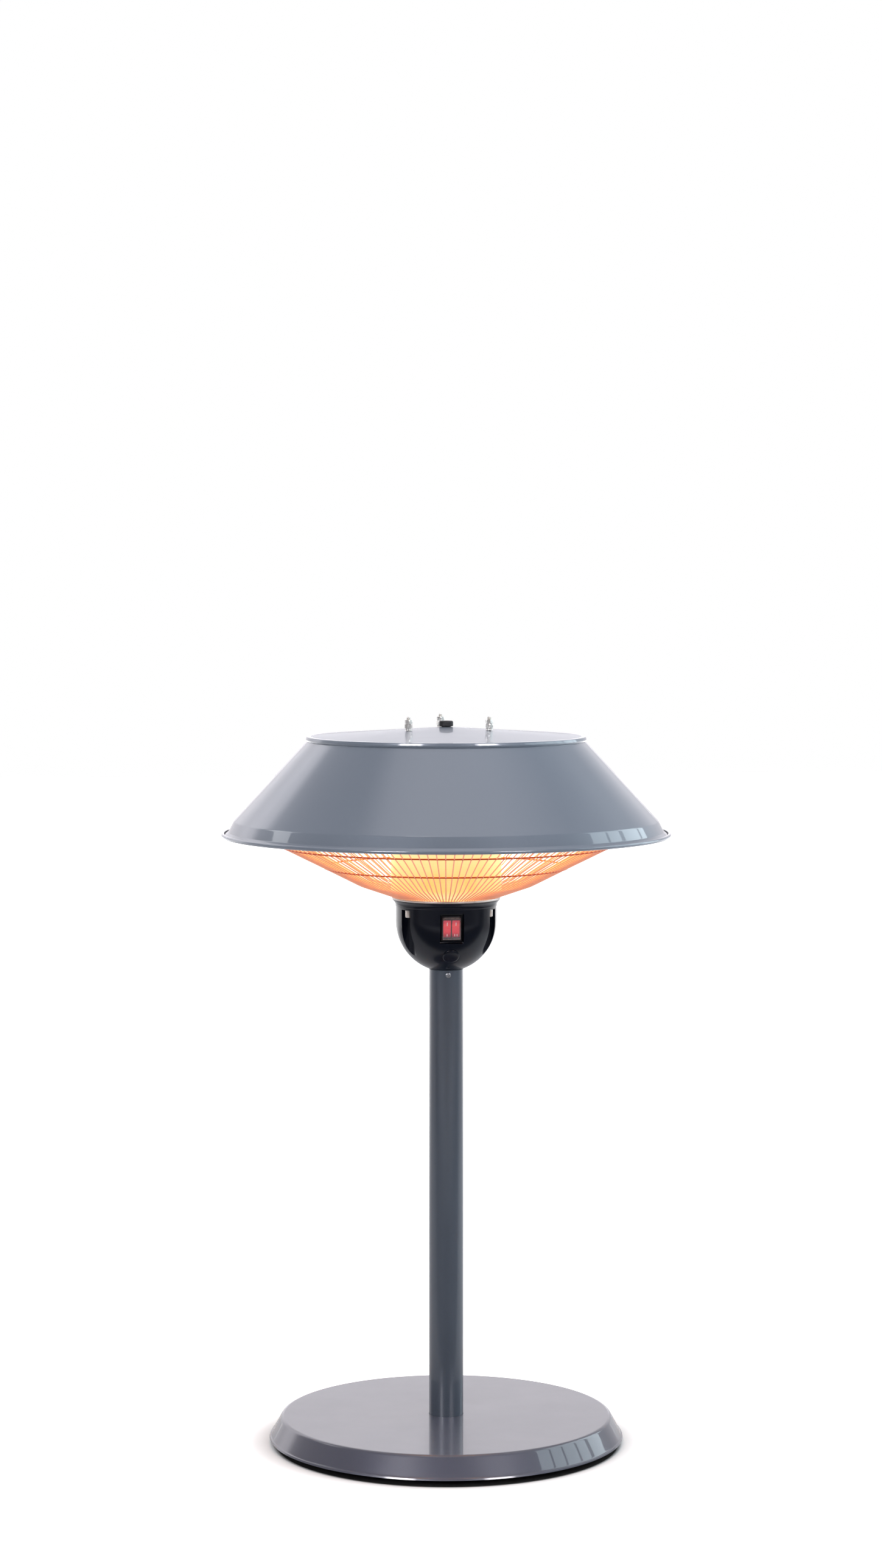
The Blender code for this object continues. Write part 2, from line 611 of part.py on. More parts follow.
def make_flange(materials):
    zinc = materials["zinc"]
    flange = turned(
        "pole_flange",
        [
            (FLANGE_BORE, FLANGE_Z),
            (FLANGE_RADIUS, FLANGE_Z),
            (FLANGE_RADIUS, FLANGE_Z + FLANGE_THICKNESS),
            (SPIGOT_RADIUS, FLANGE_Z + FLANGE_THICKNESS),
            (SPIGOT_RADIUS, FLANGE_Z + FLANGE_SPIGOT_HEIGHT),
            (FLANGE_BORE, FLANGE_Z + FLANGE_SPIGOT_HEIGHT),
        ],
        zinc,
        MEDIUM_SEGMENTS,
    )
    hole = drilled(FLANGE_THICKNESS + OVERRUN, FLANGE_BOLT_RADIUS + HOLE_CLEARANCE)
    start_z = FLANGE_Z - OVERRUN / 2
    places = round_places(FLANGE_BOLT_COUNT, FLANGE_BOLT_CIRCLE, FLANGE_BOLT_ANGLE, start_z)
    cut(flange, row_of_cutters("flange_holes", hole, places, SMALL_SEGMENTS, zinc))
    shank_top = FLANGE_Z + FLANGE_THICKNESS - COUNTERWEIGHT_Z
    bolt = [
        (0, GAP),
        (FLANGE_BOLT_HEAD_RADIUS, GAP),
        (FLANGE_BOLT_HEAD_RADIUS, GAP + FLANGE_BOLT_HEAD_HEIGHT),
        (FLANGE_BOLT_RADIUS, GAP + FLANGE_BOLT_HEAD_HEIGHT),
        (FLANGE_BOLT_RADIUS, shank_top),
        (0, shank_top),
    ]
    low = COUNTERWEIGHT_Z
    places = round_places(FLANGE_BOLT_COUNT, FLANGE_BOLT_CIRCLE, FLANGE_BOLT_ANGLE, low)
    for number, place in enumerate(places, start=1):
        bolt_name = f"flange_bolt_{number}"
        made = turned(bolt_name, bolt, zinc, SMALL_SEGMENTS, place)
        socket = drilled(OVERRUN + HEX_SOCKET_DEPTH, HEX_SOCKET_RADIUS)
        socket_place = place @ Matrix.Translation((0, 0, GAP - OVERRUN))
        cut(made, turned(f"{bolt_name}_socket", socket, zinc, NUT_SEGMENTS, socket_place))


def grommet_place():
    """The middle of the sloping wall at the back, with +Z along the wall's outward normal."""
    tilt = math.atan2(BASE_BAND_DROP, BASE_BAND_RUN)
    radius = BASE_TOP_RADIUS + BASE_BAND_RUN * GROMMET_DROP_SHARE
    height = BASE_TOP_Z - BASE_BAND_DROP * GROMMET_DROP_SHARE
    return Matrix.Translation((0, radius, height)) @ Matrix.Rotation(-tilt, 4, "X")


def make_grommet(cover, materials):
    place = grommet_place()
    hole = drilled(OVERRUN * 2, GROMMET_NECK_RADIUS + HOLE_CLEARANCE)
    hole_place = place @ Matrix.Translation((0, 0, -OVERRUN))
    cut(cover, turned("grommet_hole", hole, materials["rubber"], SMALL_SEGMENTS, hole_place))
    inside = -BASE_SHEET - GAP * 2
    sag = GROMMET_FLANGE_RADIUS**2 / (2 * BASE_TOP_RADIUS)
    outside = GAP + sag / 2
    grommet = [
        (GROMMET_BORE, inside - GROMMET_FLANGE_THICKNESS),
        (GROMMET_FLANGE_RADIUS, inside - GROMMET_FLANGE_THICKNESS),
        (GROMMET_FLANGE_RADIUS, inside - sag),
        (GROMMET_NECK_RADIUS, inside - sag),
        (GROMMET_NECK_RADIUS, outside),
        (GROMMET_FLANGE_RADIUS, outside),
        (GROMMET_NECK_RADIUS, outside + GROMMET_FLANGE_THICKNESS),
        (GROMMET_BORE, outside + GROMMET_FLANGE_THICKNESS),
    ]
    turned("cable_grommet", grommet, materials["rubber"], SMALL_SEGMENTS, place)


def screw_place():
    """The pole's surface under the switch, with +Z pointing out of the pole."""
    height = BOWL_BOTTOM_Z - POLE_SCREW_DROP
    return Matrix.Translation((0, -POLE_RADIUS, height)) @ Matrix.Rotation(QUARTER_TURN, 4, "X")


def make_pole(materials):
    pole = turned(
        "pole",
        tube(POLE_TOP_Z - POLE_FOOT_Z, POLE_RADIUS, POLE_BORE),
        materials["hood_grey"],
        MEDIUM_SEGMENTS,
        Matrix.Translation((0, 0, POLE_FOOT_Z)),
    )
    steel = materials["bright_steel"]
    screw = [
        (0, -POLE_SCREW_LENGTH),
        (POLE_SCREW_RADIUS, -POLE_SCREW_LENGTH),
        (POLE_SCREW_RADIUS, GAP),
        (POLE_SCREW_HEAD_RADIUS, GAP),
        (POLE_SCREW_HEAD_RADIUS, GAP + POLE_SCREW_HEAD_HEIGHT / 2),
        (POLE_SCREW_RADIUS, GAP + POLE_SCREW_HEAD_HEIGHT),
        (0, GAP + POLE_SCREW_HEAD_HEIGHT),
    ]
    turned("pole_screw", screw, steel, SMALL_SEGMENTS, screw_place())
    cut(pole, screw_hole("pole_screw_hole", steel))


def screw_hole(name, material):
    hole = drilled(OVERRUN * 2, POLE_SCREW_RADIUS + HOLE_CLEARANCE)
    place = screw_place() @ Matrix.Translation((0, 0, -OVERRUN))
    return turned(name, hole, material, ROD_SEGMENTS, place)


def bowl_curve(inset):
    """The bowl's round side as (r, z) points, from the pole up to its widest place."""
    radius = BOWL_RADIUS - inset
    depth = BOWL_DEPTH - inset
    low = BOWL_BOTTOM_Z if not inset else BOWL_FLOOR_Z
    start = math.asin((BOWL_EQUATOR_Z - low) / depth)
    points = []
    for i in range(BOWL_STEPS + 1):
        angle = start * (1 - i / BOWL_STEPS)
        points.append((radius * math.cos(angle), BOWL_EQUATOR_Z - depth * math.sin(angle)))
    return points


def plug_place():
    """The bowl's surface under the switch, with +Z along its outward normal."""
    ray = Vector((0, -math.cos(PLUG_ANGLE), -math.sin(PLUG_ANGLE)))
    point = Vector((0, ray.y * BOWL_RADIUS, BOWL_EQUATOR_Z + ray.z * BOWL_DEPTH))
    return Matrix.Translation(point) @ Matrix.Rotation(QUARTER_TURN + PLUG_ANGLE, 4, "X")


def make_bowl(materials):
    black = materials["gloss_black"]
    spigot_z = BOWL_BOTTOM_Z - BOWL_SPIGOT_LENGTH
    outline = [(0, spigot_z), (SPIGOT_RADIUS, spigot_z), (SPIGOT_RADIUS, BOWL_BOTTOM_Z)]
    outline += bowl_curve(0)
    outline += [(BOWL_RADIUS, BOWL_NECK_Z), (BOWL_LIP_RADIUS, BOWL_LIP_Z), (0, BOWL_LIP_Z)]
    bowl = turned("bowl", outline, black, MEDIUM_SEGMENTS)
    boss = drilled(PLUG_BOSS_RISE + BOWL_WALL, PLUG_BOSS_RADIUS)
    boss_place = plug_place() @ Matrix.Translation((0, 0, -BOWL_WALL))
    join(bowl, turned("plug_boss", boss, black, SMALL_SEGMENTS, boss_place))
    cut(bowl, bowl_cavity(black))
    flute = drilled(FLUTE_TOP_Z - BOWL_BOTTOM_Z + OVERRUN, FLUTE_RADIUS)
    low = BOWL_BOTTOM_Z - OVERRUN
    cut(bowl, row_of_cutters("flutes", flute, rod_places(low), SMALL_SEGMENTS, black))
    rod_hole = drilled(BOWL_LIP_Z - FLUTE_TOP_Z + OVERRUN * 2, ROD_HOLE)
    low = FLUTE_TOP_Z - OVERRUN
    cut(bowl, row_of_cutters("bowl_rod_holes", rod_hole, rod_places(low), ROD_SEGMENTS, black))
    bore = drilled(BOWL_SPIGOT_LENGTH + BOWL_FLOOR_THICKNESS + OVERRUN * 2, BOWL_SPIGOT_BORE)
    bore_place = Matrix.Translation((0, 0, spigot_z - OVERRUN))
    cut(bowl, turned("spigot_bore", bore, black, SMALL_SEGMENTS, bore_place))
    cut(bowl, screw_hole("spigot_screw_hole", black))
    cut_switch_pocket(bowl, black)
    plug_hole = drilled(OVERRUN * 2, PLUG_STEM_RADIUS + HOLE_CLEARANCE)
    hole_place = plug_place() @ Matrix.Translation((0, 0, -OVERRUN))
    cut(bowl, turned("plug_hole", plug_hole, black, SMALL_SEGMENTS, hole_place))
    make_blanking_plug(black)


def bowl_cavity(material):
    """The bowl's inside, less the walls round the three flutes and round the switch pocket."""
    outline = [(0, BOWL_FLOOR_Z)]
    outline += bowl_curve(BOWL_WALL)
    outline += [
        (BOWL_RADIUS - BOWL_WALL, BOWL_LIP_Z + OVERRUN),
        (0, BOWL_LIP_Z + OVERRUN),
    ]
    cavity = turned("bowl_cavity", outline, material, MEDIUM_SEGMENTS)
    pillar_top = FLUTE_TOP_Z + FLUTE_CEILING
    pillar = drilled(pillar_top - BOWL_BOTTOM_Z + OVERRUN, FLUTE_RADIUS + FLUTE_WALL)
    low = BOWL_BOTTOM_Z - OVERRUN
    pillars = row_of_cutters("flute_walls", pillar, rod_places(low), SMALL_SEGMENTS, material)
    cut(cavity, pillars)
    half_width = POCKET_WIDTH / 2 + POCKET_WALL
    half_height = POCKET_HEIGHT / 2 + POCKET_WALL
    housing = box(
        "pocket_housing",
        (-half_width, -BOWL_RADIUS - OVERRUN, SWITCH_Z - half_height),
        (half_width, -POCKET_FLOOR_DISTANCE + POCKET_WALL, SWITCH_Z + half_height),
        material,
    )
    return cut(cavity, housing)


def cut_switch_pocket(bowl, material):
    half_width = POCKET_WIDTH / 2
    half_height = POCKET_HEIGHT / 2
    pocket = box(
        "switch_pocket",
        (-half_width, -BOWL_RADIUS - OVERRUN, SWITCH_Z - half_height),
        (half_width, -POCKET_FLOOR_DISTANCE, SWITCH_Z + half_height),
        material,
    )
    cut(bowl, pocket)
    half_width = SWITCH_BODY_WIDTH / 2 + HOLE_CLEARANCE
    half_height = SWITCH_BODY_HEIGHT / 2 + HOLE_CLEARANCE
    window = box(
        "switch_window",
        (-half_width, -POCKET_FLOOR_DISTANCE - POCKET_WALL, SWITCH_Z - half_height),
        (half_width, -POCKET_FLOOR_DISTANCE + POCKET_WALL * 2, SWITCH_Z + half_height),
        material,
    )
    cut(bowl, window)


def make_blanking_plug(material):
    under = PLUG_BOSS_RISE + GAP
    outline = [
        (0, under - PLUG_STEM_WALL),
        (PLUG_STEM_RADIUS - PLUG_STEM_WALL, under - PLUG_STEM_WALL),
        (PLUG_STEM_RADIUS - PLUG_STEM_WALL, -PLUG_STEM_LENGTH),
        (PLUG_STEM_RADIUS, -PLUG_STEM_LENGTH),
        (PLUG_STEM_RADIUS, under),
        (PLUG_HEAD_RADIUS, under),
        (PLUG_HEAD_RADIUS - PLUG_HEAD_THICKNESS / 2, under + PLUG_HEAD_THICKNESS),
        (0, under + PLUG_HEAD_THICKNESS),
    ]
    turned("blanking_plug", outline, material, SMALL_SEGMENTS, plug_place())


def make_switch(materials):
    nylon = materials["black_nylon"]
    front = -BEZEL_DISTANCE
    bezel_low = Vector((-BEZEL_WIDTH / 2, front, SWITCH_Z - BEZEL_HEIGHT / 2))
    bezel_high = Vector((BEZEL_WIDTH / 2, front + BEZEL_THICKNESS, SWITCH_Z + BEZEL_HEIGHT / 2))
    body = box("switch_body", bezel_low, bezel_high, nylon)
    half_width = SWITCH_BODY_WIDTH / 2
    half_height = SWITCH_BODY_HEIGHT / 2
    back = front + SWITCH_BODY_DEPTH
    bm = bmesh.new()
    low = (-half_width, front + BEZEL_THICKNESS / 2, SWITCH_Z - half_height)
    box_mesh(bm, low, (half_width, back, SWITCH_Z + half_height))
    join(body, finish("switch_case", bm, nylon))
    join(body, switch_terminals(back, materials["bright_steel"]))
    bm = bmesh.new()
    for side in (-1, 1):
        middle = side * rocker_offset()
        well_half = ROCKER_WIDTH / 2 + HOLE_CLEARANCE
        well_low = (middle - well_half, front - OVERRUN, SWITCH_Z - ROCKER_WELL / 2)
        well_high = (middle + well_half, front + SWITCH_CAVITY_DEPTH, SWITCH_Z + ROCKER_WELL / 2)
        box_mesh(bm, well_low, well_high)
    cut(body, finish("rocker_wells", bm, nylon))
    make_rockers(materials)
    make_boot(materials)


def rocker_offset():
    return (ROCKER_WIDTH + SWITCH_RIB_WIDTH) / 2 + HOLE_CLEARANCE


def switch_terminals(back, material):
    bm = bmesh.new()
    for side in (-1, 1):
        for rise in (-1, 0, 1):
            x = side * rocker_offset()
            z = SWITCH_Z + rise * SWITCH_BODY_HEIGHT * TERMINAL_RISE_SHARE
            low = (x - TERMINAL_WIDTH / 2, back - TERMINAL_WIDTH / 2, z - TERMINAL_THICKNESS / 2)
            high = (x + TERMINAL_WIDTH / 2, back + TERMINAL_LENGTH, z + TERMINAL_THICKNESS / 2)
            box_mesh(bm, low, high)
    return finish("switch_terminals", bm, material)


def rocker_outline():
    """The rocker's side view about its pivot: a shallow V face, a skirt and a round hub."""
    half = ROCKER_HEIGHT / 2
    sink = half * math.tan(ROCKER_CROWN_ANGLE)
    face = -ROCKER_RISE
    outline = [(face - sink, half), (face, 0), (face - sink, -half)]
    outline += [(face - sink + ROCKER_SKIRT, -half)]
    hub = arc((ROCKER_HUB_RADIUS, 0), ROCKER_HUB_RADIUS, -QUARTER_TURN, QUARTER_TURN, BEND_STEPS * 2)
    outline += hub
    outline += [(face - sink + ROCKER_SKIRT, half)]
    return outline


def make_rockers(materials):
    for name, side in (("rocker_left", -1), ("rocker_right", 1)):
        middle = Vector((side * rocker_offset(), -SWITCH_PIVOT_DISTANCE, SWITCH_Z))
        place = Matrix.Translation(middle) @ Matrix.Rotation(ROCKER_TILT, 4, "X")
        half = ROCKER_WIDTH / 2
        extruded(name, rocker_outline(), -half, half, materials["red_lens"], place)


def make_boot(materials):
    """A soft clear cover over both rockers, open at its back."""
    clear = materials["clear_boot"]
    back = -BEZEL_DISTANCE - GAP
    boot = tapered_box("switch_boot", back, BOOT_DEPTH, 0, clear)
    inside = tapered_box("boot_inside", back + OVERRUN, BOOT_DEPTH + OVERRUN - BOOT_WALL, BOOT_WALL, clear)
    cut(boot, inside)


def tapered_box(name, back, depth, inset, material):
    bm = bmesh.new()
    corners = []
    for y, taper in ((back, 0), (back - depth, BOOT_TAPER)):
        x = BOOT_WIDTH / 2 - inset - taper
        z = BOOT_HEIGHT / 2 - inset - taper
        ring = [(-x, y, -z), (x, y, -z), (x, y, z), (-x, y, z)]
        corners.append([bm.verts.new((a, b, SWITCH_Z + c)) for a, b, c in ring])
    bm.faces.new(corners[0][::-1])
    bm.faces.new(corners[1])
    back_ring, front_ring = corners
    for i in range(len(back_ring)):
        n = (i + 1) % len(back_ring)
        bm.faces.new((back_ring[i], back_ring[n], front_ring[n], front_ring[i]))
    return finish(name, bm, material)


def make_tip_switch(materials):
    """A channel-shaped case with a pin between its cheeks, and a weight that hangs from the pin."""
    nylon = materials["black_nylon"]
    middle = TIP_CASE_PLACE
    low = Vector((middle.x - TIP_CASE_WIDTH / 2, middle.y - TIP_CASE_DEPTH / 2, HUNG_TOP_Z - TIP_CASE_HEIGHT))
    high = Vector((middle.x + TIP_CASE_WIDTH / 2, middle.y + TIP_CASE_DEPTH / 2, HUNG_TOP_Z))
    case = box("tip_switch_case", low, high, nylon)
    room_low = (low.x + TIP_CASE_WALL, low.y - OVERRUN, low.z - OVERRUN)
    room_high = (high.x - TIP_CASE_WALL, high.y + OVERRUN, high.z - TIP_CASE_WALL)
    cut(case, box("tip_switch_room", room_low, room_high, nylon))
    pivot = Vector((middle.x, middle.y, HUNG_TOP_Z - TIP_PIN_DROP))
    sideways = Matrix.Rotation(QUARTER_TURN, 4, "Y")
    pin_length = TIP_CASE_WIDTH - TIP_CASE_WALL
    pin_place = Matrix.Translation(pivot - Vector((pin_length / 2, 0, 0))) @ sideways
    pin = drilled(pin_length, TIP_PIN_RADIUS)
    join(case, turned("tip_switch_pin", pin, nylon, ROD_SEGMENTS, pin_place))
    make_pendulum(pivot, sideways, materials["zinc"])


def make_pendulum(pivot, sideways, material):
    half = PENDULUM_THICKNESS / 2
    shift = Matrix.Translation(pivot)
    disc_place = shift @ sideways @ Matrix.Translation((0, 0, -half))
    pendulum = turned(
        "tip_switch_pendulum",
        tube(PENDULUM_THICKNESS, PENDULUM_HUB_RADIUS, TIP_PIN_RADIUS + HOLE_CLEARANCE),
        material,
        SMALL_SEGMENTS,
        disc_place,
    )
    width = PENDULUM_ARM_WIDTH / 2
    arm_top = -(TIP_PIN_RADIUS + PENDULUM_HUB_RADIUS) / 2 - HOLE_CLEARANCE
    arm = box(
        "pendulum_arm",
        (-half + GAP, -width, -PENDULUM_ARM_LENGTH),
        (half - GAP, width, arm_top),
        material,
        shift,
    )
    join(pendulum, arm)
    weight_place = Matrix.Translation(pivot - Vector((half, 0, PENDULUM_ARM_LENGTH))) @ sideways
    weight = drilled(PENDULUM_THICKNESS, PENDULUM_WEIGHT_RADIUS)
    join(pendulum, turned("pendulum_weight", weight, material, SMALL_SEGMENTS, weight_place))


def rod_holes(name, z, length, material):
    hole = drilled(length, ROD_HOLE)
    return row_of_cutters(name, hole, rod_places(z - length / 2), ROD_SEGMENTS, material)


def make_reflectors(materials):
    polished = materials["polished_aluminium"]
    low = LOWER_REFLECTOR_Z
    lower = turned(
        "lower_reflector",
        [
            (LOWER_REFLECTOR_BORE, low),
            (LOWER_REFLECTOR_RADIUS, low),
            (LOWER_REFLECTOR_RADIUS, low + REFLECTOR_SHEET),
            (LOWER_REFLECTOR_BORE, low + REFLECTOR_SHEET),
        ],
        polished,
        LARGE_SEGMENTS,
    )
    cut(lower, rod_holes("lower_rod_holes", low, OVERRUN, polished))
    corners = [
        (UPPER_REFLECTOR_BORE, UPPER_REFLECTOR_Z),
        (UPPER_REFLECTOR_FLAT_RADIUS, UPPER_REFLECTOR_Z),
        (UPPER_REFLECTOR_RIM_RADIUS, UPPER_REFLECTOR_RIM_Z),
        (UPPER_REFLECTOR_FLANGE_RADIUS, UPPER_REFLECTOR_RIM_Z),
    ]
    upper_outline = walled(corners, REFLECTOR_SHEET)
    upper = turned("upper_reflector", upper_outline, polished, LARGE_SEGMENTS)
    cut(upper, rod_holes("upper_rod_holes", UPPER_REFLECTOR_Z, OVERRUN, polished))


def make_drum(materials):
    """The gold drum round the tie rods, with a foot bent in at the bottom."""
    corners = [
        (DRUM_RADIUS, DRUM_TOP_Z),
        (DRUM_RADIUS, DRUM_FOOT_Z),
        (DRUM_FOOT_RADIUS, DRUM_FOOT_Z),
    ]
    path = rounded(corners, (DRUM_FOOT_BEND,))
    drum = turned("drum", walled(path, DRUM_SHEET), materials["gold_mesh"], LARGE_SEGMENTS)
    cut(drum, rod_holes("drum_rod_holes", DRUM_FOOT_Z, OVERRUN, materials["gold_mesh"]))


def guard_height(radius):
    """Height of the guard's middle surface at a distance from the axis."""
    for (r0, z0), (r1, z1) in zip(GUARD_LINE, GUARD_LINE[1:]):
        if radius <= r1:
            break
    along = (radius - r0) / (r1 - r0)
    return z0 + (z1 - z0) * min(1, max(0, along))


def guard_lattice(name, stations, bands, material):
    """Straight radial wires over the stations, with a closed ring on each span that is a band."""
    bm = bmesh.new()
    layers = [[], []]
    for radius in stations:
        spread = GUARD_WIRE / 2 / radius
        height = guard_height(radius)
        for layer, rise in zip(layers, (-GUARD_SHEET / 2, GUARD_SHEET / 2)):
            ring = []
            for k in range(GUARD_WIRES):
                for side in (-spread, spread):
                    a = FULL_TURN * k / GUARD_WIRES + side
                    ring.append(bm.verts.new((radius * math.cos(a), radius * math.sin(a), height + rise)))
            layer.append(ring)
    around = GUARD_WIRES * 2
    spans = len(stations) - 1

    def filled(span, step):
        return 0 <= span < spans and (span in bands or step % 2 == 0)

    for span in range(spans):
        for step in range(around):
            if not filled(span, step):
                continue
            n = (step + 1) % around
            under, over = layers
            for layer in layers:
                bm.faces.new((layer[span][step], layer[span][n], layer[span + 1][n], layer[span + 1][step]))
            if not filled(span - 1, step):
                bm.faces.new((under[span][step], under[span][n], over[span][n], over[span][step]))
            if not filled(span + 1, step):
                out = span + 1
                bm.faces.new((under[out][step], under[out][n], over[out][n], over[out][step]))
            for column, beside in ((step, (step - 1) % around), (n, n)):
                if not filled(span, beside):
                    out = span + 1
                    side = (under[span][column], under[out][column], over[out][column], over[span][column])
                    bm.faces.new(side)
    finish(name, bm, material)


def make_guard(materials):
    """The guard in two nodes that meet under the lower ring. The collision hulls of one would be too big."""
    rings = [[radius - GUARD_RING / 2, radius + GUARD_RING / 2] for radius in GUARD_RING_RADII]
    foot, lower, upper, outer = rings
    seam = lower[0] - GAP
    guard_lattice("wire_guard_inner", foot + [GUARD_LINE[1][0], seam], (0,), materials["hot_wire"])
    guard_lattice("wire_guard", lower + upper + outer, (0, 2, 4), materials["hot_wire"])


def make_lamps(materials):
    half = LAMP_TUBE_LENGTH / 2
    cap_start = half + GAP
    places = round_places(LAMP_COUNT, LAMP_DISTANCE, LAMP_START_ANGLE, LAMP_Z)
    along = Matrix.Rotation(-QUARTER_TURN, 4, "X")
    for number, place in enumerate(places, start=1):
        tube_place = place @ Matrix.Translation((0, -half, 0)) @ along
        tube_outline = tube(LAMP_TUBE_LENGTH, LAMP_TUBE_RADIUS, LAMP_TUBE_RADIUS - LAMP_TUBE_WALL)
        turned(f"lamp_tube_{number}", tube_outline, materials["quartz"], SMALL_SEGMENTS, tube_place)
        filament = drilled(LAMP_TUBE_LENGTH, FILAMENT_RADIUS)
        turned(f"lamp_filament_{number}", filament, materials["glow"], ROD_SEGMENTS, tube_place)
        for end, side in (("a", -1), ("b", 1)):
            low = (-LAMP_CAP_SIZE.y / 2, 0, -LAMP_CAP_SIZE.z / 2)
            high = (LAMP_CAP_SIZE.y / 2, LAMP_CAP_SIZE.x, LAMP_CAP_SIZE.z / 2)
            turn = Matrix.Rotation(0 if side > 0 else HALF_TURN, 4, "Z")
            end_place = place @ Matrix.Translation((0, side * cap_start, 0)) @ turn
            cap = box(f"lamp_cap_{number}{end}", low, high, materials["ceramic"], end_place)
            bevel = cap.modifiers.new("edges", "BEVEL")
            bevel.width = LAMP_CAP_BEVEL
            bevel.segments = 1
    make_lamp_brackets(materials)


def make_lamp_brackets(materials):
    """Bent plates under the upper reflector. Each one holds the neighbouring ends of two lamps."""
    shelf_z = LAMP_Z + LAMP_CAP_SIZE.z / 2 + GAP
    far_corner = math.hypot(BRACKET_INNER_RADIUS + BRACKET_SHEET, BRACKET_WIDTH / 2)
    reflector_z = UPPER_REFLECTOR_Z - REFLECTOR_SLOPE * (far_corner - UPPER_REFLECTOR_FLAT_RADIUS)
    riser_z = reflector_z - BRACKET_TOP_CLEARANCE - GAP
    outline = [
        (BRACKET_OUTER_RADIUS, shelf_z),
        (BRACKET_OUTER_RADIUS, shelf_z + BRACKET_SHEET),
        (BRACKET_INNER_RADIUS + BRACKET_SHEET, shelf_z + BRACKET_SHEET),
        (BRACKET_INNER_RADIUS + BRACKET_SHEET, riser_z),
        (BRACKET_INNER_RADIUS, riser_z),
        (BRACKET_INNER_RADIUS, shelf_z),
    ]
    corner_angle = LAMP_START_ANGLE + FULL_TURN / LAMP_COUNT / 2 - QUARTER_TURN
    for number in range(1, LAMP_COUNT + 1):
        angle = corner_angle + FULL_TURN * (number - 1) / LAMP_COUNT
        place = Matrix.Rotation(angle, 4, "Z")
        half = BRACKET_WIDTH / 2
        extruded(f"lamp_bracket_{number}", outline, -half, half, materials["zinc"], place)


def make_rods(materials):
    steel = materials["bright_steel"]
    length = ROD_TIP_Z - ROD_FOOT_Z
    rod = [
        (0, 0),
        (ROD_RADIUS, 0),
        (ROD_RADIUS, length - ROD_TIP_CHAMFER),
        (ROD_RADIUS - ROD_TIP_CHAMFER, length),
        (0, length),
    ]
    nut_radius = NUT_FLATS / 2 / math.cos(HALF_TURN / NUT_SEGMENTS)
    waist = WASHER_RADIUS - WASHER_WAIST
    washer = [
        (ROD_HOLE, 0),
        (WASHER_RADIUS, 0),
        (waist, WASHER_HEIGHT / 2),
        (WASHER_RADIUS, WASHER_HEIGHT),
        (ROD_HOLE, WASHER_HEIGHT),
    ]
    ceiling = ROD_FOOT_Z - GAP - SLEEVE_NUT_Z
    sleeve = [
        (0, 0),
        (SLEEVE_NUT_RADIUS, 0),
        (SLEEVE_NUT_RADIUS, SLEEVE_NUT_HEIGHT),
        (ROD_HOLE, SLEEVE_NUT_HEIGHT),
        (ROD_HOLE, ceiling),
        (0, ceiling),
    ]
    stacks = zip(rod_places(ROD_FOOT_Z), rod_places(0))
    for number, (rod_place, place) in enumerate(stacks, start=1):
        turned(f"tie_rod_{number}", rod, steel, ROD_SEGMENTS, rod_place)
        washer_place = place @ Matrix.Translation((0, 0, WASHER_Z))
        turned(f"spring_washer_{number}", washer, materials["zinc"], ROD_SEGMENTS, washer_place)
        for nut, z in (("lock_nut", LOCK_NUT_Z), ("top_nut", TOP_NUT_Z)):
            nut_place = place @ Matrix.Translation((0, 0, z))
            make_nut(f"{nut}_{number}", nut_radius, nut_place, steel)
        sleeve_place = place @ Matrix.Translation((0, 0, SLEEVE_NUT_Z))
        turned(f"bottom_nut_{number}", sleeve, steel, SMALL_SEGMENTS, sleeve_place)


def make_nut(name, radius, place, material):
    """A hexagon with a round hole: both loops have the same number of points, so no cutter is needed."""
    bm = bmesh.new()
    rings = []
    for z in (0, NUT_HEIGHT):
        outer = []
        inner = []
        for k in range(ROD_SEGMENTS):
            a = FULL_TURN * k / ROD_SEGMENTS
            corner = k % 2 == 0
            reach = radius if corner else radius * math.cos(HALF_TURN / NUT_SEGMENTS)
            outer.append(bm.verts.new((reach * math.cos(a), reach * math.sin(a), z)))
            inner.append(bm.verts.new((ROD_HOLE * math.cos(a), ROD_HOLE * math.sin(a), z)))
        rings.append((outer, inner))
    (low_out, low_in), (high_out, high_in) = rings
    for k in range(ROD_SEGMENTS):
        n = (k + 1) % ROD_SEGMENTS
        bm.faces.new((low_out[k], low_out[n], high_out[n], high_out[k]))
        bm.faces.new((low_in[n], low_in[k], high_in[k], high_in[n]))
        bm.faces.new((low_out[n], low_out[k], low_in[k], low_in[n]))
        bm.faces.new((high_out[k], high_out[n], high_in[n], high_in[k]))
    return finish(name, bm, material, place)


def hood_outline():
    """The hood's section: flange, cone, steeper skirt and a solid rolled bead at the brim."""
    outer = [
        (HOOD_FLANGE_RADIUS, HOOD_SHOULDER_Z),
        (HOOD_SHOULDER_RADIUS, HOOD_SHOULDER_Z),
        (HOOD_TOP_RADIUS, HOOD_TOP_Z),
        (HOOD_CREASE_RADIUS, HOOD_CREASE_Z),
        (HOOD_SKIRT_RADIUS, HOOD_SKIRT_Z),
    ]
    wall = walled(outer, HOOD_SHEET)
    inner = wall[len(outer) :]
    centre = (HOOD_BEAD_CIRCLE_RADIUS, HOOD_BEAD_Z)
    start = math.atan2(HOOD_TROUGH_Z - HOOD_BEAD_Z, HOOD_TROUGH_RADIUS - HOOD_BEAD_CIRCLE_RADIUS)
    bead = arc(centre, HOOD_BEAD_RADIUS, start, start - FULL_TURN + QUARTER_TURN, BEAD_STEPS)
    return outer + [(HOOD_TROUGH_RADIUS, HOOD_TROUGH_Z)] + bead + inner


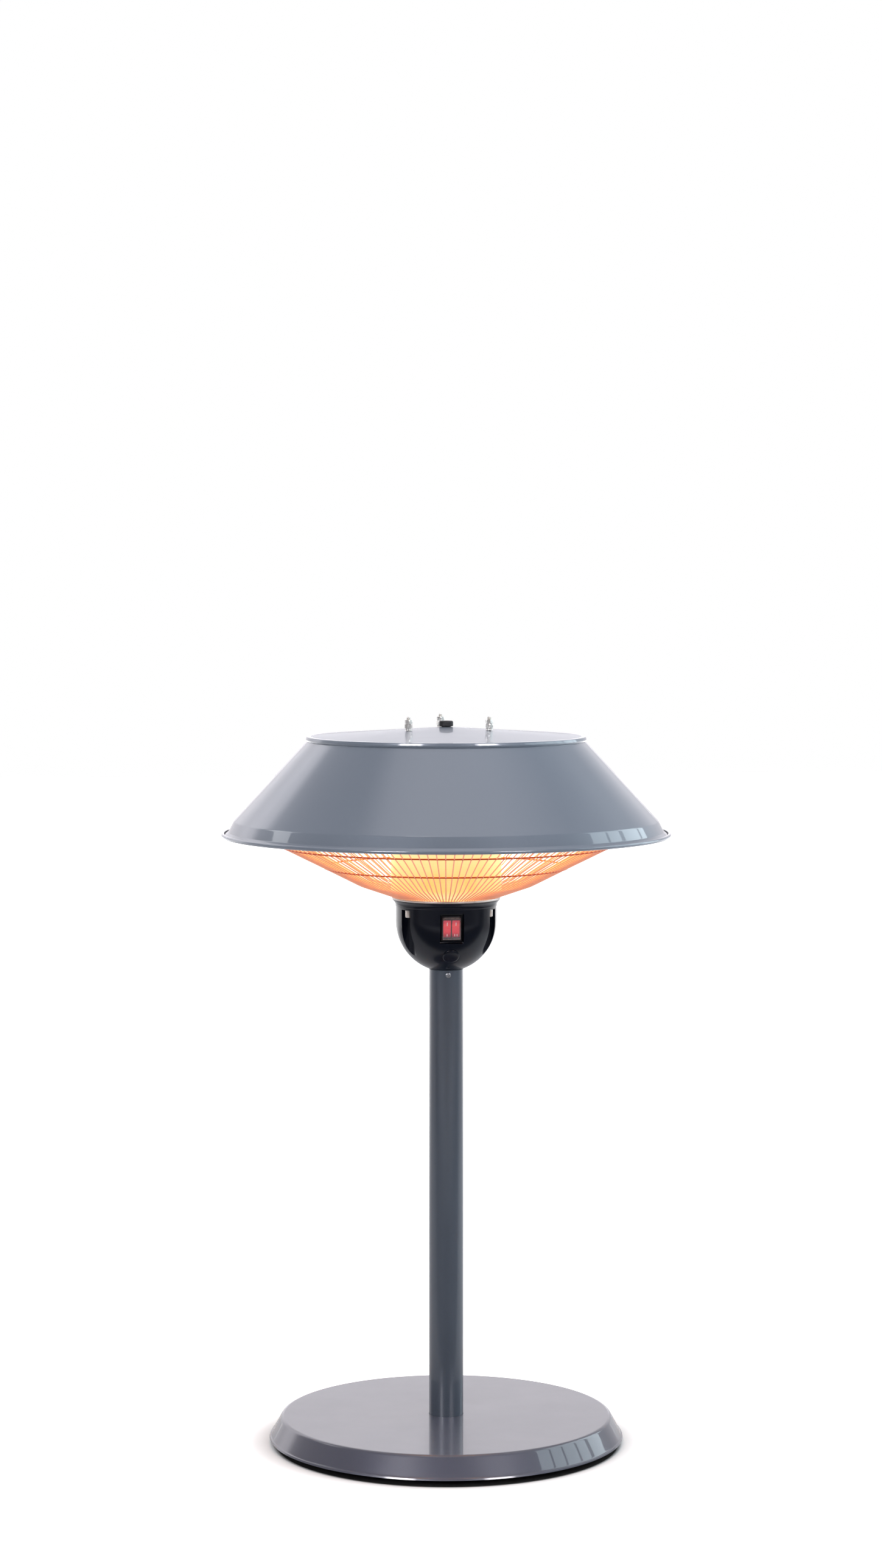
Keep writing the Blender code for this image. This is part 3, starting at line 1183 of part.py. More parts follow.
def make_hood(materials):
    paint = materials["hood_grey"]
    turned("hood_shell", hood_outline(), paint, LARGE_SEGMENTS)
    corners = [
        (CAP_BORE, CAP_CROWN_Z - CAP_SLOPE * CAP_BORE),
        (CAP_EDGE_RADIUS, CAP_EDGE_Z),
        (CAP_RADIUS, CAP_EDGE_Z),
        (CAP_RADIUS, CAP_RIM_BOTTOM_Z),
    ]
    path = rounded(corners, (0, CAP_RIM_BEND))
    cap = turned("hood_cap", walled(path, HOOD_SHEET), paint, LARGE_SEGMENTS)
    cut(cap, rod_holes("cap_rod_holes", CAP_ROD_Z, OVERRUN, paint))
    low = CAP_CROWN_Z + GAP
    stem = CAP_BORE - HOLE_CLEARANCE
    plug = [
        (0, low - CENTRE_PLUG_STEM),
        (stem, low - CENTRE_PLUG_STEM),
        (stem, low),
        (CENTRE_PLUG_RADIUS, low),
        (CENTRE_PLUG_RADIUS, low + CENTRE_PLUG_HEIGHT - CENTRE_PLUG_EDGE),
        (CENTRE_PLUG_RADIUS - CENTRE_PLUG_EDGE, low + CENTRE_PLUG_HEIGHT),
        (0, low + CENTRE_PLUG_HEIGHT),
    ]
    turned("centre_plug", plug, materials["rubber"], SMALL_SEGMENTS)


def make_materials():
    made = {}
    for name, colour, roughness, metallic in (
        ("hood_grey", (0.19, 0.22, 0.27), 0.25, 0.1),
        ("gloss_black", (0.012, 0.013, 0.018), 0.15, 0.0),
        ("black_nylon", (0.02, 0.02, 0.022), 0.5, 0.0),
        ("rubber", (0.015, 0.015, 0.017), 0.7, 0.0),
        ("cement", (0.42, 0.41, 0.39), 0.9, 0.0),
        ("zinc", (0.55, 0.56, 0.58), 0.4, 1.0),
        ("bright_steel", (0.62, 0.6, 0.56), 0.25, 1.0),
        ("polished_aluminium", (0.85, 0.85, 0.86), 0.12, 1.0),
        ("gold_mesh", (0.95, 0.55, 0.16), 0.35, 0.8),
        ("hot_wire", (0.75, 0.25, 0.1), 0.45, 0.6),
        ("quartz", (0.9, 0.75, 0.5), 0.05, 0.0),
        ("glow", (1.0, 0.6, 0.2), 0.5, 0.0),
        ("ceramic", (0.85, 0.83, 0.78), 0.6, 0.0),
        ("red_lens", (0.75, 0.06, 0.08), 0.2, 0.0),
        ("clear_boot", (0.85, 0.85, 0.88), 0.1, 0.0),
    ):
        made[name] = make_material(name, colour, roughness, metallic)
    return made


def main():
    clear_scene()
    materials = make_materials()
    make_base(materials)
    make_pole(materials)
    make_bowl(materials)
    make_switch(materials)
    make_tip_switch(materials)
    make_reflectors(materials)
    make_drum(materials)
    make_guard(materials)
    make_lamps(materials)
    make_rods(materials)
    make_hood(materials)


main()
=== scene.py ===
"""Looks of the table-top heater: paint, glow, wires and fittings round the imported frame. Metres, +Z up."""

import math

import bmesh
import bpy
from mathutils import Matrix, Vector


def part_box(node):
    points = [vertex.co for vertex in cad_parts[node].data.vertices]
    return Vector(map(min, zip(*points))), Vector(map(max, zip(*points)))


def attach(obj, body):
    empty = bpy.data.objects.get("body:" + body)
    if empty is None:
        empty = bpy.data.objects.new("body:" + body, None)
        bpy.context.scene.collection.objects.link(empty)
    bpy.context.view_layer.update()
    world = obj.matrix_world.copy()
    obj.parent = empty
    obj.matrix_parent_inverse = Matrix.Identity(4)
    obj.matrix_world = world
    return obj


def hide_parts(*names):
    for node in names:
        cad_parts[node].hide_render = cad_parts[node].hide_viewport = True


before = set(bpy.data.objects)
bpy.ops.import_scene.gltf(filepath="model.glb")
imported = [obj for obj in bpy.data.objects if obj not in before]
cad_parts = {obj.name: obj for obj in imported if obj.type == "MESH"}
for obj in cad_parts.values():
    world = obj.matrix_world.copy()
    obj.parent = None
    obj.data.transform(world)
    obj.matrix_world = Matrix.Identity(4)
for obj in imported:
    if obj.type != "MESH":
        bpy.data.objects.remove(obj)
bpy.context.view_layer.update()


def rgb(red, green, blue):
    return (red, green, blue, 1)


def grey(value):
    return rgb(value, value, value)


TURN = 2 * math.pi
RIGHT_ANGLE = math.pi / 2
BODY = "heater"
SOFT_EDGE = math.radians(32)
GAP = 0.0003
OVERRUN = 0.01
HOLD = 0.0009
RIM_SEGMENTS = 256

# CAD nodes that keep their shape, besides the zinc-plated ones
PLAIN_NODES = {
    "tip_switch_case": "black_nylon",
    "lower_reflector": "reflector",
    "base_counterweight": "cement",
}

# The photograph's camera
PHOTO_WIDTH = 1449
PHOTO_HEIGHT = 2576
PHOTO_FOCAL = 5666
AXIS_COLUMN = 733
HORIZON_ROW = 926
CAMERA_DISTANCE = 3.845
CAMERA_HEIGHT = 0.9765
CAMERA_AZIMUTH = math.radians(7)
SENSOR = 36

# Materials: FULL and MIDDLE are the parts of a noise's range that are spread over a value
FULL = (0.0, 1.0)
MIDDLE = (0.2, 0.8)
FINE_BUMP = 0.0001
TOOL_MARKS = 2600.0
LOOK_IN = 0.55
LOOK_UP = 0.8
DRUM_MESH_ROUND = 220
DRUM_MESH_ROWS = 80
# Painted lamp light on the drum from foot to top; the pale stop near the foot is a painted reflection of the
# lamps
DRUM_PAINTED_LAMPLIGHT = (
    (0.0, rgb(1.0, 0.7, 0.26)), (0.1, rgb(1.0, 0.9, 0.5)), (0.24, rgb(1.0, 0.66, 0.2)),
    (0.5, rgb(1.0, 0.6, 0.17)), (0.8, rgb(1.0, 0.78, 0.32)), (1.0, rgb(1.0, 0.84, 0.42)),
)
ROCKER_TINT = (
    (0.0, rgb(0.2, 0.008, 0.03)), (0.28, rgb(0.7, 0.03, 0.06)), (0.7, rgb(0.8, 0.06, 0.08)),
    (1.0, rgb(0.5, 0.03, 0.07)),
)
# Key, name, colour, deeper colour, coat
PAINTS = (
    ("hood_paint", "hood_paint", rgb(0.215, 0.255, 0.312), rgb(0.195, 0.23, 0.284), 1.0),
    # The cap's copy of the grey paint is lighter, as painted light, and has a thinner coat
    ("cap_paint", "cap_paint", rgb(0.26, 0.29, 0.34), rgb(0.24, 0.27, 0.32), 0.4),
    # The base's and the pole's copies of the grey paint are darker, as painted shade for the weaker light
    # low down
    ("base_paint", "base_paint", rgb(0.1, 0.104, 0.138), rgb(0.088, 0.092, 0.124), 1.0),
    ("pole_paint", "pole_paint", rgb(0.085, 0.105, 0.135), rgb(0.07, 0.088, 0.116), 0.5),
)
# Key, name, colour, roughness, grain
MOULDINGS = (
    # The seam row is painted shade: a near-black finish for the hood's trough between the skirt and the bead
    ("seam", "shaded_seam", rgb(0.012, 0.014, 0.018), 0.5, 500.0),
    ("black_nylon", "black_nylon", rgb(0.018, 0.018, 0.022), 0.42, 500.0),
    ("rubber", "black_rubber", rgb(0.012, 0.012, 0.014), 0.55, 260.0),
)
# Key, name, colour, tarnish, roughness, metallic, stretch
METALS = (
    ("zinc", "zinc_plate", rgb(0.55, 0.56, 0.58), rgb(0.4, 0.4, 0.4), 0.3),
    ("bright", "bright_plate", rgb(0.95, 0.93, 0.88), rgb(0.6, 0.56, 0.5), 0.1, 0.5, (1.0, 1.0, 0.2)),
    ("dark_screw", "blackened_screw", rgb(0.3, 0.31, 0.33), rgb(0.12, 0.13, 0.15), 0.3, 0.5),
    ("ring_steel", "ring_steel", rgb(0.7, 0.68, 0.65), rgb(0.5, 0.47, 0.45), 0.3, 0.6),
)
# Key, name, cold steel, its painted lamp light in the shade, warm and hot, strength. The wires are no lamps:
# their glow is emission that stands in for the lamps' light on them
WIRE_PAINTED_LAMPLIGHT = (rgb(0.36, 0.13, 0.075), rgb(0.95, 0.32, 0.1), rgb(1.0, 0.55, 0.13))
RING_PAINTED_LAMPLIGHT = (rgb(0.2, 0.03, 0.01), rgb(0.75, 0.12, 0.02), rgb(0.85, 0.22, 0.03))
LAMPLIT_WIRES = (
    ("wire", "guard_wire_steel", rgb(0.42, 0.36, 0.36), WIRE_PAINTED_LAMPLIGHT, 1.15),
    ("ring_wire", "guard_ring_steel", rgb(0.3, 0.1, 0.07), RING_PAINTED_LAMPLIGHT, 0.7),
)

# The room that the paint mirrors. Each pair says where a fade starts and ends
ROOM_DEPTH = (-0.3, 1.0)
ROOM_SIDES = (-0.08, 0.08)
ROOM_TOP_LEVEL = 2.0
ROOM_RIGHT_LEVELS = (
    (-0.3, 0.06), (0.2, 0.26), (0.5, 0.45), (0.62, 0.38), (0.72, 0.6), (0.86, 0.88), (1.0, 1.0),
)
ROOM_LEFT_LEVELS = (
    (-0.3, 0.06), (0.2, 0.2), (0.54, 0.3), (0.63, 0.45), (0.71, 1.5), (0.79, 1.5), (0.88, 1.0),
    (1.0, 1.15),
)
ROOM_BAND_RISE = (0.08, 0.2)
ROOM_BAND_LEVELS = (0.85, 1.1)
STRIP_SIDES = (0.13, 0.22)
STRIP_DEPTH = (0.8, 0.9)
STRIP_FOOT = (0.0, 0.04)
STRIP_TOP = (0.212, 0.228)
STRIP_RISE = (0.08, 0.18)
STRIP_LEVELS = (1.45, 1.4)
SPOTS = ((math.radians(-38), 1.0), (math.radians(29), 0.7))
SPOT_LEVEL = 30.0
SPOT_SIDES = (0.12, 0.2)
SPOT_FOOT = (0.27, 0.31)
SPOT_TOP = (0.53, 0.59)
CEILING_SIDES = (-0.46, -0.36)
CEILING_RISE = (0.79, 0.95)
CEILING_LEVELS = (0.1, 1.05)
WORLD_SOFT_LIGHT = 0.5
WORLD_TINT = rgb(0.98, 0.95, 1.0)

# Panels: name, place right, away and up, width, level. Panes: near and far end, sill, top
PANEL_TARGET = (0, 0, 0.6)
PANEL_COLOUR = (0.98, 0.98, 1)
OVERHEAD_PLACE = (0, -0.6, 3.0)
OVERHEAD_SIZE = (2.0, 2.0)
OVERHEAD_LEVEL = 1.35
PANELS = (("key", (-1.8, -2.6, 1.7), 1.6, 0.8), ("fill", (2.2, -2.2, 1.5), 1.4, 0.6))
SOFTBOX_AZIMUTH = math.radians(-24)
SOFTBOX_ELEVATION = math.radians(66)
SOFTBOX_DISTANCE = 2.5
SOFTBOX_SIZE = (0.5, 0.2)
SOFTBOX_LEVEL = 4.0
SOFTBOX_COLOUR = (1, 0.98, 0.95)
PANE_LEVEL = 2.7
RIGHT_PANES = (
    (-0.8, -0.45, 0.85, 1.75), (-0.4, -0.1, 0.85, 1.75), (-0.05, 0.31, 0.7, 2.35),
    (0.37, 0.68, 0.6, 2.3), (0.8, 1.42, 0.5, 2.15), (1.5, 1.8, 0.6, 2.05),
)
LEFT_PANES = ((0.28, 1.25, 1.8, 2.5),)
WINDOWS = (("right", 2.0, RIGHT_PANES, (0.78, 0.93, 1)), ("left", -2.3, LEFT_PANES, (0.95, 0.97, 1)))

# Floor
FLOOR_SIZE = 12
FLOOR_NEAR = (-0.2, -0.3)
FLOOR_MIDDLE = (-1.2, -2.0)
FLOOR_FAR = (-2.2, -4.0)
FLOOR_FRONT = 0.08
FLOOR_BEHIND = (1.2, 3.5)
FLOOR_BACK = 1.3
FLOOR_SHADOW = (0.2, 0.27)
FLOOR_LIFT = 0.22
# Painted contact shadow: the floor's colour goes near-black inside this circle under the base, shifted to
# the front
UNDER_SHIFT = (0, 0.008, 0)
UNDER_RADIUS = 0.1895
UNDER_FADE = 0.0045

# Base and feet
LIP_RADIUS = 0.1965
LIP_Z = 0.006
LIP_HEIGHT = 0.0025
LIP_INSET = 0.0012
LIP_LEAN = 0.0007
LIP_LEAN_RISE = 0.74
LIP_REACH = 1.6
BASE_TOP_RADIUS = 0.1828
BASE_TOP_Z = 0.0296
BASE_SHEET = 0.0015
BASE_BENDS = (0.0045, 0.0025, 0.0007)
GROMMET_NECK = 0.0055
GROMMET_FLANGE = 0.0085
GROMMET_BORE = 0.0035
GROMMET_THICKNESS = 0.002
GROMMET_BENDS = (0.0008, 0.0003, 0.0002, 0.0002, 0.0006, 0.0008)
FOOT_RADIUS = 0.011
FOOT_TREAD = 0.0095
FOOT_CHAMFER = 0.0015
FOOT_BENDS = (0.0006, 0.0008, 0.0003)
FOOT_CIRCLE = 0.165
FOOT_START = math.radians(45)

# Pole and its screw
POLE_RADIUS = 0.019
POLE_WALL = 0.0015
POLE_SCREW_DROP = 0.0055
SCREW_HEAD = ((0, 0.0017), (0.0021, 0.0016), (0.003, 0.0008))
SCREW_BENDS = (0.003, 0.0008, 0.0002)
SCREW_SHANK = 0.0015
SCREW_DEPTH = 0.006
SCREW_SLOT = ((-0.0019, -0.0003, 0.0008), (0.0019, 0.0003, 0.003))
SCREW_TURN = 0.4

# Bowl
BOWL_RADIUS = 0.0563
BOWL_DEPTH = 0.057
BOWL_EQUATOR_Z = 0.579
BOWL_NECK_Z = 0.599
BOWL_LIP_RADIUS = 0.06
BOWL_LIP_Z = 0.603
BOWL_WALL = 0.0025
BOWL_FLOOR = 0.0035
BOWL_BORE = 0.013
BOWL_BEVEL = 0.0007
BOWL_BEVEL_ANGLE = math.radians(40)
COLLAR_Z = 0.5956
COLLAR_STEP = 0.0006
NECK_BENDS = (0.0004, 0.0004, 0.004, 0.0006)
FLUTE_RADIUS = 0.0087
FLUTE_TOP_Z = 0.5935
PILLAR_LIFT = 0.012
PILLAR_ROOF = 0.0025
TRIM_INSET = 0.0008
TRIM_LIFT = 0.003
PLUG_ANGLE = math.radians(38.6)
PLUG_HEAD_RADIUS = 0.0092
PLUG_STEM_RADIUS = 0.0065
PLUG_STEM = 0.0055
PLUG_WALL = 0.0012
PLUG_EDGE = 0.0006
PLUG_RISE = 0.0014
PLUG_SKIRT = 0.0011
PLUG_SEAT = 0.0001
PLUG_BENDS = (0.0003, 0.0001)

# Switch: half sizes go across and up, and depths go from near to far
SWITCH_Z = 0.5747
POCKET_WIDTH = 0.0264
POCKET_HEIGHT = 0.0332
POCKET_FLOOR = 0.0455
POCKET_WALL = 0.002
POCKET_CORNER = 0.0012
POCKET_REACH = 0.0035
WINDOW_HALF = (0.0101, 0.0111)
WINDOW_DEPTH = (-0.05, -0.04)
BEZEL_DEPTH = 0.0016
BEZEL_EDGE = 0.0005
CASE_HALF = (0.0098, 0.0108)
CASE_START = 0.0006
CASE_END = 0.02
CASE_EDGE = 0.0003
WELL_HALF = (0.0044, 0.01)
WELL_END = 0.0115
BLADE_HALF = (0.0024, 0.0004)
BLADE_START = 0.0195
BLADE_END = 0.027
BLADE_PITCH = 0.00648
BLADE_EDGE = 0.0002
COVER_WALL = 0.0007
COVER_EDGE = 0.0011
COVER_TAPER = 0.05
ROCKER_X = 0.0049
ROCKER_Y = -0.0458
ROCKER_TILT = math.radians(7)
ROCKER_HALF = (0.0041, 0.0094)
ROCKER_FACE = ((-0.00335, 0.0094), (-0.0024, 0.003), (-0.0022, 0), (-0.0024, -0.003), (-0.00335, -0.0094))
ROCKER_BACK = -0.00135
ROCKER_HEEL = 0.0022
ROCKER_EDGE = 0.0003
MARK_Z = -0.007
MARK_HALF = (0.00035, 0.0012)
MARK_DEPTH = (-0.00335, -0.00285)
MARK_OFFSET = 0.0013
MARK_EDGE = 0.0001
# A pale stroke near the top of each rocker: a painted highlight
STROKE_Z = 0.0053
STROKE_HALF = (0.0004, 0.0019)
STROKE_DEPTH = (-0.0033, -0.0024)
STROKE_EDGE = 0.0002

# Drum, reflectors and guard
DRUM_RADIUS = 0.0617
DRUM_FOOT_RADIUS = 0.044
DRUM_BEND = 0.008
SHEET = 0.001
REFLECTOR_BORE = 0.006
REFLECTOR_FLAT_RADIUS = 0.0917
REFLECTOR_RIM_RADIUS = 0.214
REFLECTOR_FLANGE_RADIUS = 0.228
REFLECTOR_Z = 0.745
REFLECTOR_RIM_Z = 0.6832
REFLECTOR_BENDS = (0.004, 0.003)
GUARD_WIRES = 126
GUARD_WIRE = 0.00072
GUARD_RING_WIRE = 0.0009
GUARD_FOOT = (0.0598, 0.6062)
GUARD_KNEE = (0.097, 0.619)
GUARD_LOWER = (0.136, 0.6387)
GUARD_UPPER = (0.184, 0.6625)
GUARD_OUTER = (0.2212, 0.6811)
GUARD_BENDS = (0.05, 0.2, 0.3)
GUARD_HEM_DROP = 0.0004
GUARD_RING_SINK = 0.12
FERRULE = ((0.0588, 0), (0.06, 0), (0.0605, 0.001), (0.0602, 0.0025), (0.0592, 0.0025), (0.0588, 0.0006))
FERRULE_BENDS = (0.0002, 0.0004, 0.0004, 0.0002)
FERRULE_LIFT = 0.0001

# Lamps
LAMP_COUNT = 3
LAMP_START = math.radians(30)
LAMP_DISTANCE = 0.1009
LAMP_Z = 0.691
LAMP_RADIUS = 0.005
LAMP_WALL = 0.001
LAMP_LENGTH = 0.261
LAMP_BLOCK = ((-0.006, 0, -0.006), (0.006, 0.018, 0.006))
LAMP_BLOCK_EDGE = 0.0012
LAMP_GROOVE = ((-0.0075, 0.008, 0.0047), (0.0075, 0.0098, 0.008))
COIL_INSET = 0.002
COIL_SIZES = {"Turns": 90.0, "Coil_Radius": 0.0011, "Wire_Radius": 0.00035}

# Hood
HOOD_SHEET = 0.0012
HOOD_PATH = (
    (0.136, 0.7826), (0.1525, 0.7826), (0.1547, 0.7795), (0.2364, 0.6906), (0.2423, 0.6791),
    (0.2448, 0.6752),
)
HOOD_BENDS = (0.001, 0.002, 0.006, 0.004)
BEAD_CENTRE = (0.2483, 0.6751)
BEAD_RADIUS = 0.0023
BEAD_TURN = (math.pi - 0.5, -RIGHT_ANGLE - 0.2)
SEAM_INNER = 0.2447
SEAM_OUTER = 0.2474
SEAM_Z = 0.6748
CAP_RADIUS = 0.1563
CAP_RIM_Z = 0.7791
CAP_EDGE = (0.151, 0.7843)
CAP_CROWN_Z = 0.795
CAP_SWEEP = 0.02
CAP_BEND = 0.0022
CAP_LEAN = 0.0008
CAP_LEAN_SLOPE = 3.5
CAP_BORE = 0.0055
CENTRE_BENDS = (0.001, 0.0016, 0.0005)
CENTRE_SEAT = 0.0012
CENTRE_DISH = (0.0028, 0.003)
CENTRE_DISH_DEPTH = 0.001

# Tie rods and their nuts
ROD_COUNT = 3
ROD_START = RIGHT_ANGLE
ROD_CIRCLE = 0.052
ROD_RADIUS = 0.0024
THREAD_PITCH = 0.0008
THREAD_TIP = 0.0006
THREAD_DEPTH = 0.45
THREAD_CREST = (0.42, 0.58)
NUT_FLATS = 0.0079
NUT_STEPS = 48
NUT_CHAMFER = 0.16
NUT_FACE = 0.91
NUT_SINK = 1.15
LOCK_NUT_TWIST = 0.35
TOP_NUT_TWIST = 1.1
SLEEVE_BENDS = (0.0007, 0.0004)
SLEEVE_FLOOR_Z = 0.5867
WASHER_WAIST = 0.0006
WASHER_BENDS = (0.0003, 0.0006, 0.0003)
WASHER_CUT = ((0.001, -0.0002, -0.004), (0.008, 0.0002, 0.004))
WASHER_TURN = 0.5
WASHER_SLANT = 0.6


class Tree:
    """A node tree that is filled by short calls."""

    def __init__(self, tree):
        self.tree = tree

    def feed(self, socket, value):
        """Links the socket to another one, or sets its number or colour."""
        if isinstance(value, bpy.types.NodeSocket):
            self.tree.links.new(value, socket)
        else:
            socket.default_value = value

    def add(self, kind, inputs=None, **settings):
        node = self.tree.nodes.new(kind)
        for key, value in settings.items():
            setattr(node, key, value)
        for key, value in (inputs or {}).items():
            self.feed(node.inputs[key], value)
        return node

    def math(self, operation, a, b=0.0, c=0.0):
        return self.add("ShaderNodeMath", {0: a, 1: b, 2: c}, operation=operation).outputs[0]

    def times(self, a, b):
        return self.math("MULTIPLY", a, b)

    def most(self, a, b):
        return self.math("MAXIMUM", a, b)

    def vector(self, operation, a, b=(0, 0, 0)):
        return self.add("ShaderNodeVectorMath", {0: a, 1: b}, operation=operation).outputs

    def parts(self, vector):
        return self.add("ShaderNodeSeparateXYZ", {0: vector}).outputs

    def span(self, value, fade, low=0.0, high=1.0):
        """Goes from low to high while the value crosses the fade."""
        inputs = {0: value, 1: fade[0], 2: fade[1], 3: low, 4: high}
        return self.add("ShaderNodeMapRange", inputs).outputs[0]

    def mix(self, amount, a, b):
        """Two colours mixed."""
        return self.add("ShaderNodeMix", {0: amount, 6: a, 7: b}, data_type="RGBA").outputs[2]

    def blend(self, amount, a, b):
        """Two numbers mixed."""
        return self.add("ShaderNodeMix", {0: amount, 2: a, 3: b}, data_type="FLOAT").outputs[0]

    def ramp(self, value, stops):
        node = self.add("ShaderNodeValToRGB", {0: value})
        elements = node.color_ramp.elements
        while len(elements) < len(stops):
            elements.new(0.5)
        for element, (place, colour) in zip(elements, stops):
            element.position = place
            element.color = colour
        return node.outputs[0]


class Surface(Tree):
    """A material whose shader is filled by short calls."""

    def __init__(self, name):
        self.material = bpy.data.materials.new(name)
        self.material.use_nodes = True
        super().__init__(self.material.node_tree)
        self.shader = self.tree.nodes["Principled BSDF"]
        self.place = self.add("ShaderNodeTexCoord").outputs["Object"]

    def noise(self, scale, detail=3.0, roughness=0.5, place=None):
        """Noise over the piece, or over another place."""
        place = self.place if place is None else place
        inputs = {"Vector": place, "Scale": scale, "Detail": detail, "Roughness": roughness}
        return self.add("ShaderNodeTexNoise", inputs).outputs[0]

    def flat(self):
        """The place with its height taken away."""
        place = self.parts(self.place)
        return self.add("ShaderNodeCombineXYZ", {0: place[0], 1: place[1]}).outputs[0]

    def bump(self, height, strength, distance=FINE_BUMP):
        inputs = {"Strength": strength, "Distance": distance, "Height": height}
        return self.add("ShaderNodeBump", inputs).outputs[0]

    def set(self, **values):
        """Feeds the shader's inputs, named with _ for each space, and gives the material back."""
        for label, value in values.items():
            self.feed(self.shader.inputs[label.replace("_", " ")], value)
        return self.material


def painted_steel(name, colour, deep, coat):
    """Gloss powder coat: slow colour drift, faint orange peel and a few dust nibs."""
    paint = Surface(name)
    return paint.set(
        Base_Color=paint.mix(paint.noise(5.0), colour, deep),
        Roughness=paint.span(paint.noise(14.0, 4.0, 0.55), FULL, 0.3, 0.42),
        Normal=paint.bump(paint.noise(420.0, 1.0), 0.03),
        Coat_Weight=coat,
        Coat_Roughness=0.04,
        Specular_IOR_Level=0.5,
    )


def gloss_black():
    """Moulded black plastic with a polished skin, faint flow marks and fine dust."""
    black = Surface("gloss_black_plastic")
    return black.set(
        Base_Color=black.mix(black.noise(30.0, 4.0), rgb(0.003, 0.005, 0.011), rgb(0.005, 0.008, 0.017)),
        Roughness=black.span(black.noise(60.0, 5.0, 0.65), (0.3, 0.8), 0.19, 0.25),
        Normal=black.bump(black.noise(260.0, 2.0), 0.05, 0.0003),
        Specular_IOR_Level=0.36,
        Coat_Weight=0.06,
        Coat_Roughness=0.04,
    )


def moulded(name, colour, roughness, grain):
    """Plain moulded plastic or rubber with a fine grain."""
    plastic = Surface(name)
    darker = tuple(c * 0.6 for c in colour[:3]) + (1,)
    fine = plastic.noise(grain, 2.0)
    return plastic.set(
        Base_Color=plastic.mix(plastic.noise(45.0), colour, darker),
        Roughness=plastic.span(fine, MIDDLE, roughness, roughness + 0.12),
        Normal=plastic.bump(fine, 0.18, 0.0002),
    )


def metal(name, colour, dull, roughness, metallic=1.0, stretch=(1.0, 1.0, 1.0)):
    """Bare or plated metal: drawn along the stretched axis, with spots of tarnish."""
    plate = Surface(name)
    drawn = plate.add("ShaderNodeMapping", {"Vector": plate.place, "Scale": stretch}).outputs[0]
    lines = plate.noise(240.0, place=drawn)
    tarnish = plate.span(plate.noise(90.0, 6.0, 0.7), (0.5, 0.75))
    return plate.set(
        Base_Color=plate.mix(tarnish, colour, dull),
        Roughness=plate.span(lines, MIDDLE, roughness, roughness + 0.16),
        Normal=plate.bump(lines, 0.12),
        Metallic=metallic,
    )


def facing_lamps(surface):
    """1 where the surface looks up and in, towards the lamps, and 0 where it looks out and down."""
    outward = surface.vector("NORMALIZE", surface.flat())[0]
    normal = surface.add("ShaderNodeNewGeometry").outputs["Normal"]
    outward_look = surface.vector("DOT_PRODUCT", outward, normal)["Value"]
    upward_look = surface.parts(normal)[2]
    look = surface.math("MULTIPLY_ADD", outward_look, -LOOK_IN, surface.times(upward_look, LOOK_UP))
    return surface.span(look, (0.0, LOOK_UP))


def hot_wire(name, cold, glows, strength):
    """Drawn steel wire with painted lamp light: an orange emission on the side that looks at the lamps,
    hotter higher up, and a dim one on the other side.
    """
    wire = Surface(name)
    dim, warm, hot = glows
    scale = wire.noise(150.0, 4.0, 0.6)
    rise = wire.span(wire.parts(wire.place)[2], (GUARD_FOOT[1], GUARD_OUTER[1]))
    heat = wire.ramp(rise, ((0.0, warm), (0.45, hot), (1.0, hot)))
    patches = wire.span(wire.noise(26.0, 2.0), (0.3, 0.7), 0.75, 1.25)
    glow = wire.times(facing_lamps(wire), patches)
    return wire.set(
        Base_Color=wire.mix(scale, cold, warm),
        Roughness=wire.span(scale, MIDDLE, 0.32, 0.5),
        Normal=wire.bump(scale, 0.1),
        # Painted lamp light: emission that stands in for the lamps' light falling on the wire
        Emission_Color=wire.mix(glow, dim, heat),
        Emission_Strength=strength,
        Metallic=0.7,
    )


def drum_gold():
    """Gold mesh drum: a woven grid on the wall, with painted lamp light as an emission that is brightest
    near the foot and at the top, and a pale band near the foot as a painted reflection of the lamps.
    """
    mesh = Surface("drum_gold_mesh")
    uv = mesh.parts(mesh.add("ShaderNodeUVMap", uv_map="wrap").outputs[0])
    warp = mesh.math("SINE", mesh.times(uv[0], DRUM_MESH_ROUND * TURN))
    weft = mesh.math("SINE", mesh.times(uv[1], DRUM_MESH_ROWS * TURN))
    cells = mesh.span(mesh.most(warp, weft), (-1.0, 1.0))
    stain = mesh.noise(34.0, 4.0, 0.6)
    heat = mesh.ramp(mesh.span(uv[1], (0.0, 0.36)), DRUM_PAINTED_LAMPLIGHT)
    shade = mesh.mix(mesh.span(cells, FULL, 0.35, 0.0), heat, rgb(1.0, 0.45, 0.08))
    return mesh.set(
        Base_Color=mesh.mix(stain, rgb(0.5, 0.3, 0.1), rgb(0.62, 0.4, 0.16)),
        Roughness=mesh.span(stain, MIDDLE, 0.3, 0.45),
        Normal=mesh.bump(cells, 0.5, 0.0003),
        # Painted lamp light: the drum is no lamp, and this emission stands in for the lamps' light on it
        Emission_Color=mesh.mix(mesh.span(stain, (0.35, 0.7), 0.0, 0.3), shade, rgb(1.0, 0.9, 0.6)),
        Emission_Strength=0.85,
        Metallic=0.75,
    )


